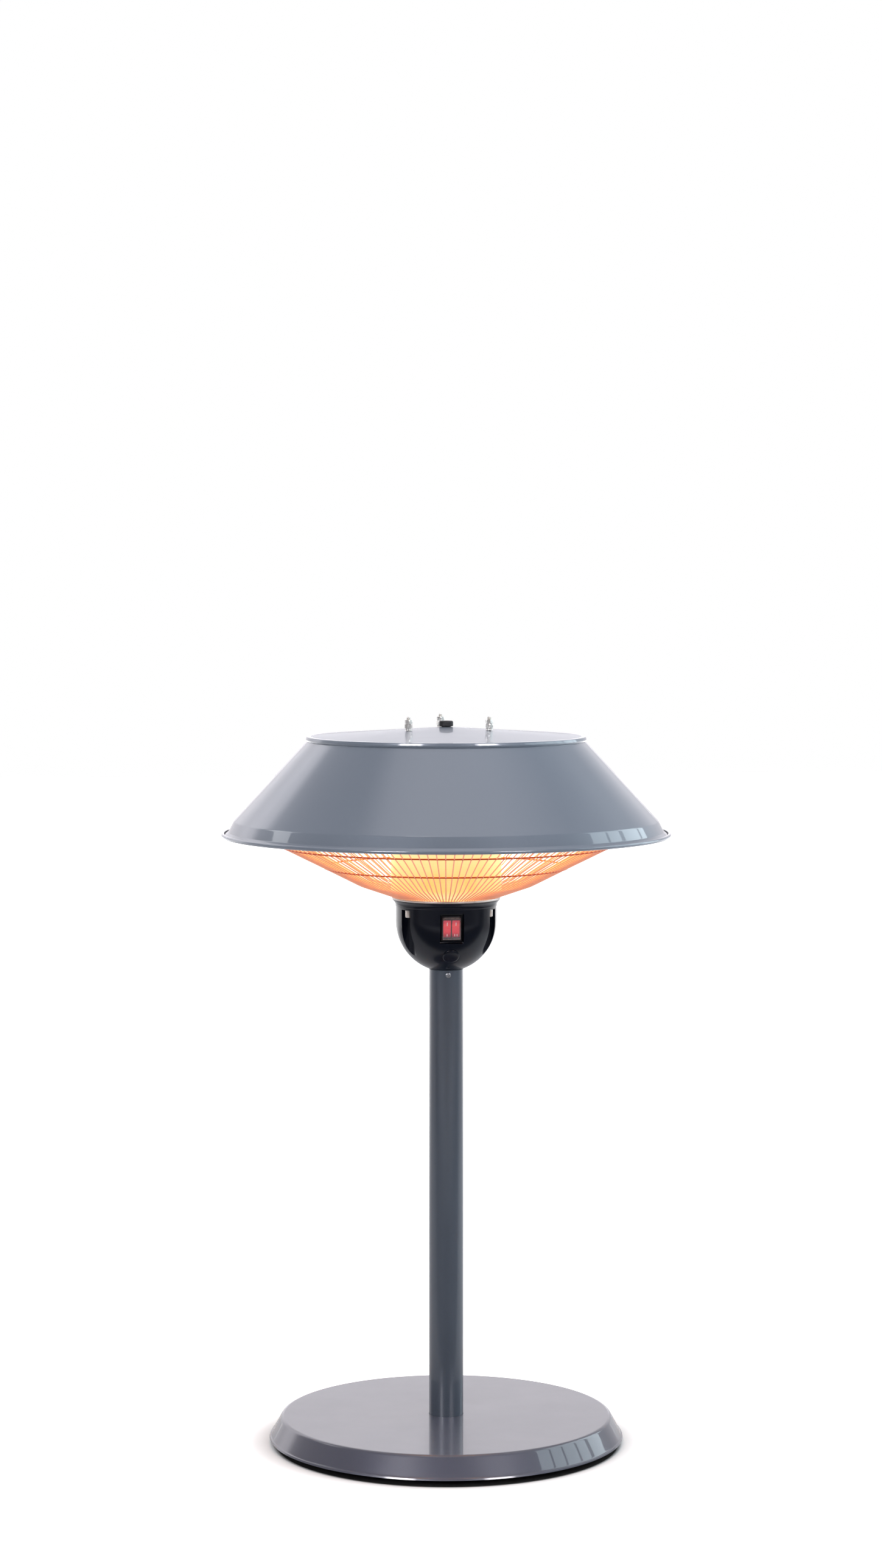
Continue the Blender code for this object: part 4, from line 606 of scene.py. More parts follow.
def reflector_metal():
    """Polished aluminium in ring-turned bands, with painted lamp light: an orange emission that is strongest
    near the middle.
    """
    sheet = Surface("reflector_aluminium")
    radius = sheet.vector("LENGTH", sheet.flat())["Value"]
    rings = sheet.math("SINE", sheet.times(radius, TOOL_MARKS))
    mottle = sheet.noise(22.0, 4.0)
    glow = sheet.span(radius, (0.06, 0.2), 1.0, 0.35)
    return sheet.set(
        Base_Color=sheet.mix(mottle, rgb(0.86, 0.8, 0.7), rgb(0.72, 0.62, 0.5)),
        Roughness=sheet.span(mottle, MIDDLE, 0.3, 0.4),
        Normal=sheet.bump(rings, 0.06),
        # Painted lamp light: emission that stands in for the lamps' light on the dish
        Emission_Color=sheet.mix(glow, grey(0), rgb(1.0, 0.4, 0.08)),
        Emission_Strength=0.45,
        Metallic=1.0,
    )


def quartz_glow():
    """Lit quartz tube: amber glass that shines, with paler bands where the coil is close."""
    glass = Surface("lit_quartz")
    wave = glass.noise(60.0)
    return glass.set(
        Base_Color=rgb(0.9, 0.6, 0.3),
        Roughness=glass.span(wave, MIDDLE, 0.05, 0.12),
        Emission_Color=glass.mix(wave, rgb(1.0, 0.5, 0.14), rgb(1.0, 0.7, 0.3)),
        Emission_Strength=3.0,
        Transmission_Weight=0.6,
        Alpha=0.55,
    )


def filament_glow():
    """White-hot tungsten."""
    coil = Surface("lit_tungsten")
    return coil.set(
        Base_Color=rgb(0.3, 0.25, 0.2),
        Emission_Color=coil.mix(coil.noise(200.0, 2.0), rgb(1.0, 0.7, 0.3), rgb(1.0, 0.85, 0.5)),
        Emission_Strength=9.0,
    )


def red_lens():
    """Translucent red rocker, lit from behind, brightest at the middle of its length."""
    lens = Surface("lit_red_rocker")
    rise = lens.span(lens.parts(lens.place)[2], (SWITCH_Z - ROCKER_HALF[1], SWITCH_Z + ROCKER_HALF[1]))
    tint = lens.ramp(rise, ROCKER_TINT)
    fine = lens.noise(500.0, 2.0)
    return lens.set(
        Base_Color=tint,
        Roughness=lens.span(fine, MIDDLE, 0.12, 0.24),
        Normal=lens.bump(fine, 0.08),
        Emission_Color=tint,
        Emission_Strength=0.42,
    )


def clear_cover():
    """Soft clear cover over the rockers, slightly milky at its edges."""
    cover = Surface("clear_soft_cover")
    haze = cover.noise(300.0)
    edge = cover.add("ShaderNodeLayerWeight", {"Blend": 0.35}).outputs["Facing"]
    return cover.set(
        Base_Color=rgb(0.86, 0.84, 0.87),
        Roughness=cover.span(haze, MIDDLE, 0.08, 0.2),
        Normal=cover.bump(haze, 0.1, 0.0002),
        Alpha=cover.span(edge, (0.0, 0.8), 0.07, 0.5),
    )


def ceramic_white():
    """Dull white steatite with grey spots."""
    block = Surface("steatite_ceramic")
    tone = block.noise(70.0, 5.0, 0.6)
    return block.set(
        Base_Color=block.mix(tone, rgb(0.82, 0.79, 0.72), rgb(0.66, 0.6, 0.52)),
        Roughness=block.span(tone, MIDDLE, 0.45, 0.7),
        Normal=block.bump(block.noise(600.0, 2.0), 0.15, 0.0002),
    )


def cement_grey():
    """Coarse cast cement."""
    cast = Surface("cast_cement")
    grit = cast.noise(160.0, 8.0, 0.7)
    return cast.set(
        Base_Color=cast.mix(grit, rgb(0.5, 0.49, 0.46), rgb(0.3, 0.29, 0.27)),
        Roughness=0.92,
        Normal=cast.bump(grit, 0.5, 0.0008),
    )


def white_mark():
    """White print on the lit rocker, a little pink from the light behind it. The pale stroke near each
    rocker's top takes it too, as a painted highlight.
    """
    mark = Surface("white_print_and_painted_highlight")
    return mark.set(
        Base_Color=mark.mix(mark.noise(900.0, 2.0), grey(0.85), grey(0.7)),
        Roughness=0.5,
        Emission_Color=rgb(1.0, 0.8, 0.8),
        Emission_Strength=0.25,
    )


def all_materials():
    """Every finish by its key."""
    made = {
        "gloss_black": gloss_black(),
        "reflector": reflector_metal(),
        "drum": drum_gold(),
        "quartz": quartz_glow(),
        "filament": filament_glow(),
        "red": red_lens(),
        "clear": clear_cover(),
        "ceramic": ceramic_white(),
        "cement": cement_grey(),
        "mark": white_mark(),
    }
    tables = ((painted_steel, PAINTS), (moulded, MOULDINGS), (metal, METALS), (hot_wire, LAMPLIT_WIRES))
    for kind, rows in tables:
        for key, *values in rows:
            made[key] = kind(*values)
    return made


def smooth(mesh):
    mesh.shade_smooth()
    mesh.set_sharp_from_angle(angle=SOFT_EDGE)


def linked(name, data):
    made = bpy.data.objects.new(name, data)
    bpy.context.scene.collection.objects.link(made)
    return made


def to_object(name, bm, material):
    bmesh.ops.recalc_face_normals(bm, faces=bm.faces)
    mesh = bpy.data.meshes.new(name)
    bm.to_mesh(mesh)
    bm.free()
    smooth(mesh)
    mesh.materials.append(FINISH[material])
    return linked(name, mesh)


def arc(centre, radius, start, end, steps):
    turns = [start + (end - start) * i / steps for i in range(steps + 1)]
    return [(centre[0] + radius * math.cos(a), centre[1] + radius * math.sin(a)) for a in turns]


def circle(radius, steps):
    turns = [TURN * k / steps for k in range(steps)]
    return [(radius * math.cos(a), radius * math.sin(a)) for a in turns]


def rounded(points, radii, steps=7):
    """The path with each inner corner replaced by a bend of its own radius."""
    path = [points[0]]
    for before, corner, after, radius in zip(points, points[1:], points[2:], radii):
        corner = Vector(corner)
        back = (Vector(before) - corner).normalized()
        ahead = (Vector(after) - corner).normalized()
        half = math.acos(max(-1, min(1, back.dot(ahead)))) / 2
        centre = corner + (back + ahead).normalized() * radius / math.sin(half)
        first = corner + back * radius / math.tan(half) - centre
        last = corner + ahead * radius / math.tan(half) - centre
        for i in range(steps + 1):
            path.append(tuple(centre + first.lerp(last, i / steps).normalized() * radius))
    path.append(points[-1])
    return held(path)


def held(path):
    """The path with a point close to each end of every long straight, so that it shades as a straight."""
    made = [path[0]]
    for start, end in zip(path, path[1:]):
        step = Vector(end) - Vector(start)
        if step.length > HOLD * 8:
            inset = step.normalized() * HOLD
            made += [tuple(Vector(start) + inset), tuple(Vector(end) - inset)]
        made.append(end)
    return made


def walled(path, thickness):
    """A closed outline: the path, and the same path moved to its right by the thickness."""
    shifted = []
    for i, point in enumerate(path):
        here = Vector(point)
        before = here - Vector(path[i - 1]) if i else Vector(path[1]) - here
        after = Vector(path[i + 1]) - here if i + 1 < len(path) else before
        before.normalize()
        after.normalize()
        along = (before + after).normalized()
        side = Vector((along.y, -along.x))
        shifted.append(tuple(here + side * thickness / max(along.dot(before), 0.5)))
    return list(path) + shifted[::-1]


def bridge(bm, rings):
    """Faces between each ring and the next one, and between the last and the first."""
    for ring, following in zip(rings, rings[1:] + rings[:1]):
        for k in range(len(ring)):
            n = (k + 1) % len(ring)
            corners = list(dict.fromkeys([ring[k], ring[n], following[n], following[k]]))
            if len(corners) > 2:
                bm.faces.new(corners)


def turned_mesh(bm, outline, segments, place=Matrix.Identity(4)):
    """Spins a closed (r, z) outline round Z."""
    rings = []
    for r, z in outline:
        if r < GAP / 2:
            rings.append([bm.verts.new(place @ Vector((0, 0, z)))] * segments)
        else:
            rings.append([bm.verts.new(place @ Vector((x, y, z))) for x, y in circle(r, segments)])
    bridge(bm, rings)


def turned(name, outline, material, segments=160, place=Matrix.Identity(4)):
    bm = bmesh.new()
    turned_mesh(bm, outline, segments, place)
    return to_object(name, bm, material)


def cylinder_outline(radius, low, high):
    return [(0, low), (radius, low), (radius, high), (0, high)]


def tube_outline(bore, radius, low, high):
    return [(bore, low), (radius, low), (radius, high), (bore, high)]


def soft_box(name, low, high, material, edge=0, segments=3, taper=0.0):
    """A box with rounded edges. Its near face is narrower by the taper."""
    bm = bmesh.new()
    bmesh.ops.create_cube(bm, size=1)
    size = Vector(high) - Vector(low)
    middle = (Vector(high) + Vector(low)) / 2
    for vert in bm.verts:
        x, y, z = vert.co
        narrow = 1 - taper if y < 0 else 1
        vert.co = Vector((x * size.x * narrow, y * size.y, z * size.z * narrow)) + middle
    if edge:
        bmesh.ops.bevel(bm, geom=bm.edges, offset=edge, segments=segments, affect="EDGES", profile=0.5)
    return to_object(name, bm, material)


def block(name, middle, half, depth, material, edge=0, segments=3):
    """A box that faces the front: its middle and half sizes across and up, and its near and far depth."""
    low = (middle[0] - half[0], depth[0], middle[1] - half[1])
    high = (middle[0] + half[0], depth[1], middle[1] + half[1])
    return soft_box(name, low, high, material, edge, segments)


def baked(obj):
    """The evaluated object as a plain mesh at the origin, with its modifiers gone."""
    graph = bpy.context.evaluated_depsgraph_get()
    mesh = bpy.data.meshes.new_from_object(obj.evaluated_get(graph))
    for modifier in list(obj.modifiers):
        obj.modifiers.remove(modifier)
    obj.data = mesh
    return obj


def carve(obj, *tools, operation="DIFFERENCE"):
    """Cuts each tool out of the object for good, and clears the tools away."""
    for tool in tools:
        modifier = obj.modifiers.new("cut", "BOOLEAN")
        modifier.operation = operation
        modifier.solver = "EXACT"
        modifier.object = tool
        baked(obj)
        bpy.data.objects.remove(tool)
    smooth(obj.data)
    return obj


def joined(name, pieces):
    """One object from several, which keep their own materials."""
    bm = bmesh.new()
    slots = []
    for piece in pieces:
        first = len(bm.faces)
        bm.from_mesh(piece.data)
        bm.faces.ensure_lookup_table()
        own = piece.data.materials[0]
        if own not in slots:
            slots.append(own)
        for face in bm.faces[first:]:
            face.material_index = slots.index(own)
    mesh = bpy.data.meshes.new(name)
    bm.to_mesh(mesh)
    bm.free()
    for own in slots:
        mesh.materials.append(own)
    smooth(mesh)
    for piece in pieces:
        bpy.data.objects.remove(piece)
    return linked(name, mesh)


def nodes_tree(name, sizes):
    """An empty Geometry Nodes tree with geometry in and out, a material and named sizes."""
    group = bpy.data.node_groups.new(name, "GeometryNodeTree")
    face = group.interface
    face.new_socket("Geometry", in_out="OUTPUT", socket_type="NodeSocketGeometry")
    face.new_socket("Geometry", in_out="INPUT", socket_type="NodeSocketGeometry")
    for label, default in sizes.items():
        kind = "NodeSocketInt" if isinstance(default, int) else "NodeSocketFloat"
        face.new_socket(label, in_out="INPUT", socket_type=kind).default_value = default
    face.new_socket("Finish", in_out="INPUT", socket_type="NodeSocketMaterial")
    tree = Tree(group)
    return group, tree, tree.add("NodeGroupInput").outputs


def close_tree(tree, inputs, geometry):
    """Every tree ends in Realize Instances and Set Material."""
    real = tree.add("GeometryNodeRealizeInstances", {0: geometry}).outputs[0]
    shaded = tree.add("GeometryNodeSetShadeSmooth", {0: real}).outputs[0]
    made = tree.add("GeometryNodeSetMaterial", {"Geometry": shaded, "Material": inputs["Finish"]})
    tree.add("NodeGroupOutput", {0: made.outputs[0]})


def swept(tree, inputs, path):
    """Round wire along the curve."""
    section = {"Resolution": inputs["Sides"], "Radius": inputs["Wire Radius"]}
    profile = tree.add("GeometryNodeCurvePrimitiveCircle", section).outputs[0]
    sweep = {"Curve": path, "Profile Curve": profile, "Fill Caps": True}
    return tree.add("GeometryNodeCurveToMesh", sweep).outputs[0]


def copies(tree, inputs, geometry):
    """Copies of the geometry, turned evenly round Z."""
    points = tree.add("GeometryNodePoints", {"Count": inputs["Copies"]}).outputs[0]
    index = tree.add("GeometryNodeInputIndex").outputs[0]
    step = tree.math("DIVIDE", TURN, inputs["Copies"])
    angle = tree.math("MULTIPLY_ADD", index, step, inputs["First Angle"])
    turn = tree.add("ShaderNodeCombineXYZ", {2: angle}).outputs[0]
    spread = {"Points": points, "Instance": geometry, "Rotation": turn}
    return tree.add("GeometryNodeInstanceOnPoints", spread).outputs[0]


def wire_tree():
    """Round wire along each edge chain of the input mesh, then copied round Z."""
    sizes = {"Wire Radius": GUARD_WIRE, "Sides": 8, "Copies": 1, "First Angle": 0.0}
    group, tree, inputs = nodes_tree("wires round the axis", sizes)
    path = tree.add("GeometryNodeMeshToCurve", {0: inputs["Geometry"]}).outputs[0]
    close_tree(tree, inputs, copies(tree, inputs, swept(tree, inputs, path)))
    return group


def ring_tree():
    """Copies of the input mesh round Z."""
    group, tree, inputs = nodes_tree("copies round the axis", {"Copies": 3, "First Angle": 0.0})
    close_tree(tree, inputs, copies(tree, inputs, inputs["Geometry"]))
    return group


def coil_tree():
    """A helix of round wire along Z."""
    sizes = {"Turns": 60.0, "Coil Radius": 0.001, "Length": 0.1, "Wire Radius": 0.0003}
    group, tree, inputs = nodes_tree("coil of wire", sizes | {"Steps A Turn": 10, "Sides": 5})
    spiral = {
        "Resolution": inputs["Steps A Turn"],
        "Rotations": inputs["Turns"],
        "Start Radius": inputs["Coil Radius"],
        "End Radius": inputs["Coil Radius"],
        "Height": inputs["Length"],
    }
    path = tree.add("GeometryNodeCurveSpiral", spiral).outputs[0]
    close_tree(tree, inputs, swept(tree, inputs, path))
    return group


def through_tree(obj, group, material, **values):
    """Runs the tree on the object with its sizes set by name, and bakes the result."""
    modifier = obj.modifiers.new(group.name, "NODES")
    modifier.node_group = group
    wanted = {key.replace("_", " "): value for key, value in values.items()}
    wanted["Finish"] = FINISH[material]
    for item in group.interface.items_tree:
        if item.in_out == "INPUT" and item.name in wanted:
            modifier[item.identifier] = wanted[item.name]
    return baked(obj)


def path_object(name, points, closed=False):
    mesh = bpy.data.meshes.new(name)
    edges = [(i, i + 1) for i in range(len(points) - 1)]
    if closed:
        edges.append((len(points) - 1, 0))
    mesh.from_pydata([tuple(p) for p in points], edges, [])
    return linked(name, mesh)


def shift(x, y, z):
    return Matrix.Translation((x, y, z))


def spin(angle, axis="Z"):
    return Matrix.Rotation(angle, 4, axis)


def moved(obj, place):
    obj.data.transform(place)
    return obj


def keep(obj, slot, *nodes, body=BODY):
    """The piece rides on its body and stands for its nodes. The slot is not used."""
    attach(obj, body)
    if nodes:
        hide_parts(*nodes)
    return obj


def place_camera():
    data = bpy.data.cameras.new("camera")
    data.sensor_width = SENSOR
    data.sensor_fit = "AUTO"
    data.lens = SENSOR * PHOTO_FOCAL / PHOTO_HEIGHT
    data.shift_x = (PHOTO_WIDTH / 2 - AXIS_COLUMN) / PHOTO_HEIGHT
    data.shift_y = (HORIZON_ROW - PHOTO_HEIGHT / 2) / PHOTO_HEIGHT
    camera = linked("camera", data)
    away = Vector((-math.sin(CAMERA_AZIMUTH), -math.cos(CAMERA_AZIMUTH), 0)) * CAMERA_DISTANCE
    camera.location = away + Vector((0, 0, CAMERA_HEIGHT))
    camera.rotation_euler = (RIGHT_ANGLE, 0, -CAMERA_AZIMUTH)
    bpy.context.scene.camera = camera
    bpy.context.scene.view_settings.view_transform = "Standard"


def studio_place(right, away, height):
    """A place in the studio, as the camera sees it: to the right, away from it and above the floor."""
    across = Vector((math.cos(CAMERA_AZIMUTH), -math.sin(CAMERA_AZIMUTH), 0))
    back = Vector((math.sin(CAMERA_AZIMUTH), math.cos(CAMERA_AZIMUTH), 0))
    return across * right + back * away + Vector((0, 0, height))


def area_light(name, location, target, size, level, colour, mirrored=True):
    """A soft panel. Its level is the brightness of its face, where 1 is white."""
    data = bpy.data.lights.new(name, "AREA")
    data.shape = "RECTANGLE"
    data.size, data.size_y = size
    data.energy = level * math.pi * size[0] * size[1]
    data.color = colour
    light = linked(name, data)
    light.location = location
    light.visible_camera = False
    light.visible_glossy = mirrored
    aim = Vector(target) - Vector(location)
    light.rotation_euler = aim.to_track_quat("-Z", "Y").to_euler()


def side_walls(tree, look):
    """The mirrored room: its level goes from front to back, apart for the left and the right."""
    depth = tree.span(look[1], ROOM_DEPTH)
    walls = []
    for levels in (ROOM_LEFT_LEVELS, ROOM_RIGHT_LEVELS):
        run = ROOM_DEPTH[1] - ROOM_DEPTH[0]
        stops = [((y - ROOM_DEPTH[0]) / run, grey(level / ROOM_TOP_LEVEL)) for y, level in levels]
        walls.append(tree.times(tree.ramp(depth, stops), ROOM_TOP_LEVEL))
    wall = tree.blend(tree.span(look[0], ROOM_SIDES), *walls)
    return tree.times(wall, tree.span(look[2], ROOM_BAND_RISE, *ROOM_BAND_LEVELS))


def back_strip(tree, look, room):
    """A bright strip low behind the heater, which the top of the base mirrors."""
    aside = tree.math("SUBTRACT", look[0], math.sin(CAMERA_AZIMUTH))
    beside = tree.span(tree.math("ABSOLUTE", aside), STRIP_SIDES, 1.0, 0.0)
    behind = tree.times(beside, tree.span(look[1], STRIP_DEPTH))
    upright = tree.times(tree.span(look[2], STRIP_FOOT), tree.span(look[2], STRIP_TOP, 1.0, 0.0))
    level = tree.span(look[2], STRIP_RISE, *STRIP_LEVELS)
    return tree.blend(tree.times(behind, upright), room, level)


def front_spots(tree, look, room):
    """Two small lights in front, high up, which draw the crisp highlights on the rims."""
    turn = tree.math("ARCTAN2", look[0], tree.times(look[1], -1.0))
    rise = tree.span(look[2], SPOT_FOOT, 0.0, SPOT_LEVEL)
    rise = tree.times(rise, tree.span(look[2], SPOT_TOP, 1.0, 0.0))
    for azimuth, share in SPOTS:
        off = tree.math("ABSOLUTE", tree.math("SUBTRACT", turn, azimuth))
        room = tree.most(room, tree.times(tree.span(off, SPOT_SIDES, share, 0.0), rise))
    return room


def light_studio():
    """A white studio, dim in front, with overhead, key and fill panels, a softbox and side windows."""
    world = bpy.data.worlds.new("studio")
    bpy.context.scene.world = world
    world.use_nodes = True
    tree = Tree(world.node_tree)
    background = world.node_tree.nodes["Background"]
    path = tree.add("ShaderNodeLightPath").outputs
    seen = tree.most(path["Is Camera Ray"], path["Is Transmission Ray"])
    look = tree.parts(tree.add("ShaderNodeTexCoord").outputs["Generated"])
    room = front_spots(tree, look, back_strip(tree, look, side_walls(tree, look)))
    ceiling = tree.span(look[0], CEILING_SIDES, *CEILING_LEVELS)
    mirrored = tree.blend(tree.span(look[2], CEILING_RISE), room, ceiling)
    glossy = tree.times(mirrored, path["Is Glossy Ray"])
    soft = tree.times(path["Is Diffuse Ray"], WORLD_SOFT_LIGHT)
    tree.feed(background.inputs["Strength"], tree.most(seen, tree.math("ADD", glossy, soft)))
    tree.feed(background.inputs["Color"], tree.mix(seen, WORLD_TINT, grey(1)))
    head = Vector(PANEL_TARGET)
    area_light("overhead", OVERHEAD_PLACE, head, OVERHEAD_SIZE, OVERHEAD_LEVEL, (1, 1, 1), False)
    for name, place, width, level in PANELS:
        area_light(name, studio_place(*place), head, (width, width), level, PANEL_COLOUR, False)
    reach = SOFTBOX_DISTANCE * math.cos(SOFTBOX_ELEVATION)
    rise = head.z + SOFTBOX_DISTANCE * math.sin(SOFTBOX_ELEVATION)
    softbox = studio_place(reach * math.sin(SOFTBOX_AZIMUTH), -reach * math.cos(SOFTBOX_AZIMUTH), rise)
    area_light("edge_softbox", softbox, head, SOFTBOX_SIZE, SOFTBOX_LEVEL, SOFTBOX_COLOUR)
    for side, wall, panes, colour in WINDOWS:
        for number, (near, far, sill, top) in enumerate(panes, 1):
            middle = studio_place(wall, (near + far) / 2, (sill + top) / 2)
            target = studio_place(0, (near + far) / 2, middle.z)
            size = (far - near, top - sill)
            area_light(f"{side}_pane_{number}", middle, target, size, PANE_LEVEL, colour)


def make_floor():
    """White floor that keeps the rendered shadow near the base, has a painted contact shadow as a near-black
    patch under the lip, shifted to the front, and turns into plain white further out.
    """
    bm = bmesh.new()
    bmesh.ops.create_grid(bm, x_segments=1, y_segments=1, size=FLOOR_SIZE)
    floor = Surface("studio_floor")
    path = floor.add("ShaderNodeLightPath").outputs
    distance = floor.vector("LENGTH", floor.place)["Value"]
    depth = floor.parts(floor.place)[1]
    pale = floor.mix(floor.noise(3.0), grey(0.9), grey(0.94))
    near = floor.times(floor.span(depth, FLOOR_NEAR), floor.span(depth, FLOOR_MIDDLE, 1.0, 0.0))
    dimmed = floor.times(near, path["Is Glossy Ray"])
    dark = floor.most(floor.span(depth, FLOOR_FAR), dimmed)
    open_floor = floor.mix(dark, pale, grey(FLOOR_FRONT))
    # Painted contact shadow: a near-black patch of floor colour under the base's lip
    reach = floor.vector("LENGTH", floor.vector("ADD", floor.place, UNDER_SHIFT)[0])["Value"]
    under = floor.span(reach, (UNDER_RADIUS, UNDER_RADIUS + UNDER_FADE))
    away = floor.span(distance, FLOOR_SHADOW)
    lift = floor.span(reach, (UNDER_RADIUS, UNDER_RADIUS + UNDER_FADE * 2), 0.0, FLOOR_LIFT)
    lit = floor.times(path["Is Camera Ray"], floor.math("ADD", away, lift))
    behind = floor.times(floor.span(depth, FLOOR_BEHIND, 0.0, FLOOR_BACK), path["Is Glossy Ray"])
    FINISH["floor"] = floor.set(
        Base_Color=floor.mix(under, grey(0.03), open_floor),
        Roughness=0.9,
        Specular_IOR_Level=0.1,
        Emission_Color=grey(1),
        Emission_Strength=floor.math("ADD", lit, behind),
    )
    to_object("floor", bm, "floor")


def repaint(obj, material, chosen):
    """The faces that are chosen by their radius and height take a second material."""
    obj.data.materials.append(FINISH[material])
    for face in obj.data.polygons:
        if chosen(face.center.to_2d().length, face.center.z):
            face.material_index = 1


def make_hood():
    """The spun cone with its bead, the cap on it and the plug in the cap."""
    body = rounded(HOOD_PATH, HOOD_BENDS)
    inner = walled(body, HOOD_SHEET)[len(body) :]
    bead = arc(BEAD_CENTRE, BEAD_RADIUS, *BEAD_TURN, 22)
    hood = turned("spun_hood", body[:-1] + bead + inner, "hood_paint", RIM_SEGMENTS)
    # Painted shade: the faces in the trough inside the bead take the near-black seam finish
    repaint(hood, "seam", lambda r, z: SEAM_INNER < r < SEAM_OUTER and z > SEAM_Z)
    keep(hood, "hood_grey", "hood_shell")
    slope = (CAP_CROWN_Z - CAP_EDGE[1]) / CAP_EDGE[0]
    groove = CAP_BEND / 3
    corners = [
        (CAP_BORE, CAP_CROWN_Z - slope * CAP_BORE),
        CAP_EDGE,
        (CAP_RADIUS - CAP_LEAN, CAP_EDGE[1]),
        (CAP_RADIUS, CAP_EDGE[1] - CAP_LEAN * CAP_LEAN_SLOPE),
        (CAP_RADIUS, CAP_RIM_Z + groove * 2),
        (CAP_RADIUS - groove, CAP_RIM_Z),
    ]
    path = rounded(corners, (CAP_SWEEP, CAP_BEND / 2, CAP_BEND, groove))
    # Painted light: the cap's top takes the lighter copy of the grey paint, and its rim the hood's paint
    cap = turned("hood_cap_disc", walled(path, HOOD_SHEET), "cap_paint", RIM_SEGMENTS)
    repaint(cap, "hood_paint", lambda r, z: r > CAP_EDGE[0])
    keep(cap, "hood_grey", "hood_cap")
    low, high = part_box("centre_plug")
    radius = high.x
    stem = CAP_BORE - GAP
    seat = CAP_CROWN_Z + GAP
    top = high.z
    dish = (CENTRE_DISH[0], top - CENTRE_DISH_DEPTH)
    corners = [(radius - CENTRE_SEAT, seat), (radius, seat), (radius, top), (CENTRE_DISH[1], top), dish]
    outline = [(0, low.z), (stem, low.z), (stem, seat)] + rounded(corners, CENTRE_BENDS) + [(0, dish[1])]
    keep(turned("centre_plug_cap", outline, "rubber", 64), "rubber", "centre_plug")


def make_base():
    """The dished cover with its lip, the cable grommet and the four feet."""
    corners = [
        (POLE_RADIUS + GAP, BASE_TOP_Z),
        (BASE_TOP_RADIUS, BASE_TOP_Z),
        (LIP_RADIUS - LIP_INSET * LIP_REACH, LIP_Z + LIP_HEIGHT),
        (LIP_RADIUS - LIP_LEAN, LIP_Z + LIP_HEIGHT * LIP_LEAN_RISE),
        (LIP_RADIUS, LIP_Z),
    ]
    path = rounded(corners, BASE_BENDS)
    # The base takes the darker copy of the grey paint, as painted shade
    cover = turned("base_dish", walled(path, BASE_SHEET), "base_paint", RIM_SEGMENTS)
    hole = cylinder_outline(GROMMET_NECK + GAP, -OVERRUN, OVERRUN)
    carve(cover, turned("hole", hole, "rubber", 40, grommet_place()))
    keep(cover, "hood_grey", "base_cover")
    grommet = turned("cable_grommet_bush", grommet_outline(), "rubber", 48, grommet_place())
    keep(grommet, "rubber", "cable_grommet")
    outline = rounded(
        [(0, 0), (FOOT_TREAD, 0), (FOOT_RADIUS, FOOT_CHAMFER), (FOOT_RADIUS, LIP_Z), (0, LIP_Z)], FOOT_BENDS
    )
    one = turned("foot_pads", outline, "rubber", 40, shift(FOOT_CIRCLE, 0, 0))
    feet = through_tree(one, COPIES, "rubber", Copies=4, First_Angle=FOOT_START)
    keep(feet, "rubber", "foot_1", "foot_2", "foot_3", "foot_4")


def grommet_place():
    """The middle of the sloped band, at the back."""
    run = LIP_RADIUS - LIP_INSET - BASE_TOP_RADIUS
    drop = BASE_TOP_Z - LIP_Z - LIP_HEIGHT
    return shift(0, BASE_TOP_RADIUS + run / 2, BASE_TOP_Z - drop / 2) @ spin(-math.atan2(drop, run), "X")


def grommet_outline():
    sag = GROMMET_FLANGE**2 / (2 * BASE_TOP_RADIUS)
    inside = -BASE_SHEET - GAP * 2
    outside = GAP + sag / 2
    corners = [
        (GROMMET_BORE, inside - GROMMET_THICKNESS), (GROMMET_FLANGE, inside - GROMMET_THICKNESS),
        (GROMMET_FLANGE, inside - sag), (GROMMET_NECK, inside - sag), (GROMMET_NECK, outside),
        (GROMMET_FLANGE, outside), (GROMMET_NECK, outside + GROMMET_THICKNESS),
        (GROMMET_BORE, outside + GROMMET_THICKNESS),
    ]
    return rounded(corners, GROMMET_BENDS, 4)


def make_pole():
    """The tube and the cross-head screw under the bowl."""
    low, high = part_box("pole")
    outline = tube_outline(POLE_RADIUS - POLE_WALL, POLE_RADIUS, low.z, high.z)
    # The pole takes a darker copy of the grey paint, as painted shade
    pole = turned("pole_tube", outline, "pole_paint", 128)
    drill = cylinder_outline(SCREW_SHANK + GAP, -SCREW_DEPTH, SCREW_DEPTH)
    carve(pole, turned("hole", drill, "bright", 24, screw_place()))
    keep(pole, "hood_grey", "pole")
    head = rounded([*SCREW_HEAD, (SCREW_HEAD[-1][0], GAP), (SCREW_SHANK, GAP)], SCREW_BENDS, 4)
    outline = head + [(SCREW_SHANK, -SCREW_DEPTH), (0, -SCREW_DEPTH)]
    screw = turned("pole_screw_head", outline, "dark_screw", 40, screw_place())
    for turn in (0, RIGHT_ANGLE):
        slot = soft_box("slot", *SCREW_SLOT, "dark_screw")
        carve(screw, moved(slot, screw_place() @ spin(turn + SCREW_TURN)))
    keep(screw, "bright_steel", "pole_screw")


def bowl_bottom():
    return BOWL_EQUATOR_Z - BOWL_DEPTH * math.sqrt(1 - (POLE_RADIUS / BOWL_RADIUS) ** 2)


def screw_place():
    return shift(0, -POLE_RADIUS, bowl_bottom() - POLE_SCREW_DROP) @ spin(RIGHT_ANGLE, "X")


def bowl_arc(inset, low, steps):
    """The bowl's wall from the low height up to its equator."""
    radius = BOWL_RADIUS - inset
    depth = BOWL_DEPTH - inset
    start = math.asin((BOWL_EQUATOR_Z - low) / depth)
    turns = [start * (1 - i / steps) for i in range(steps + 1)]
    return [(radius * math.cos(a), BOWL_EQUATOR_Z - depth * math.sin(a)) for a in turns]


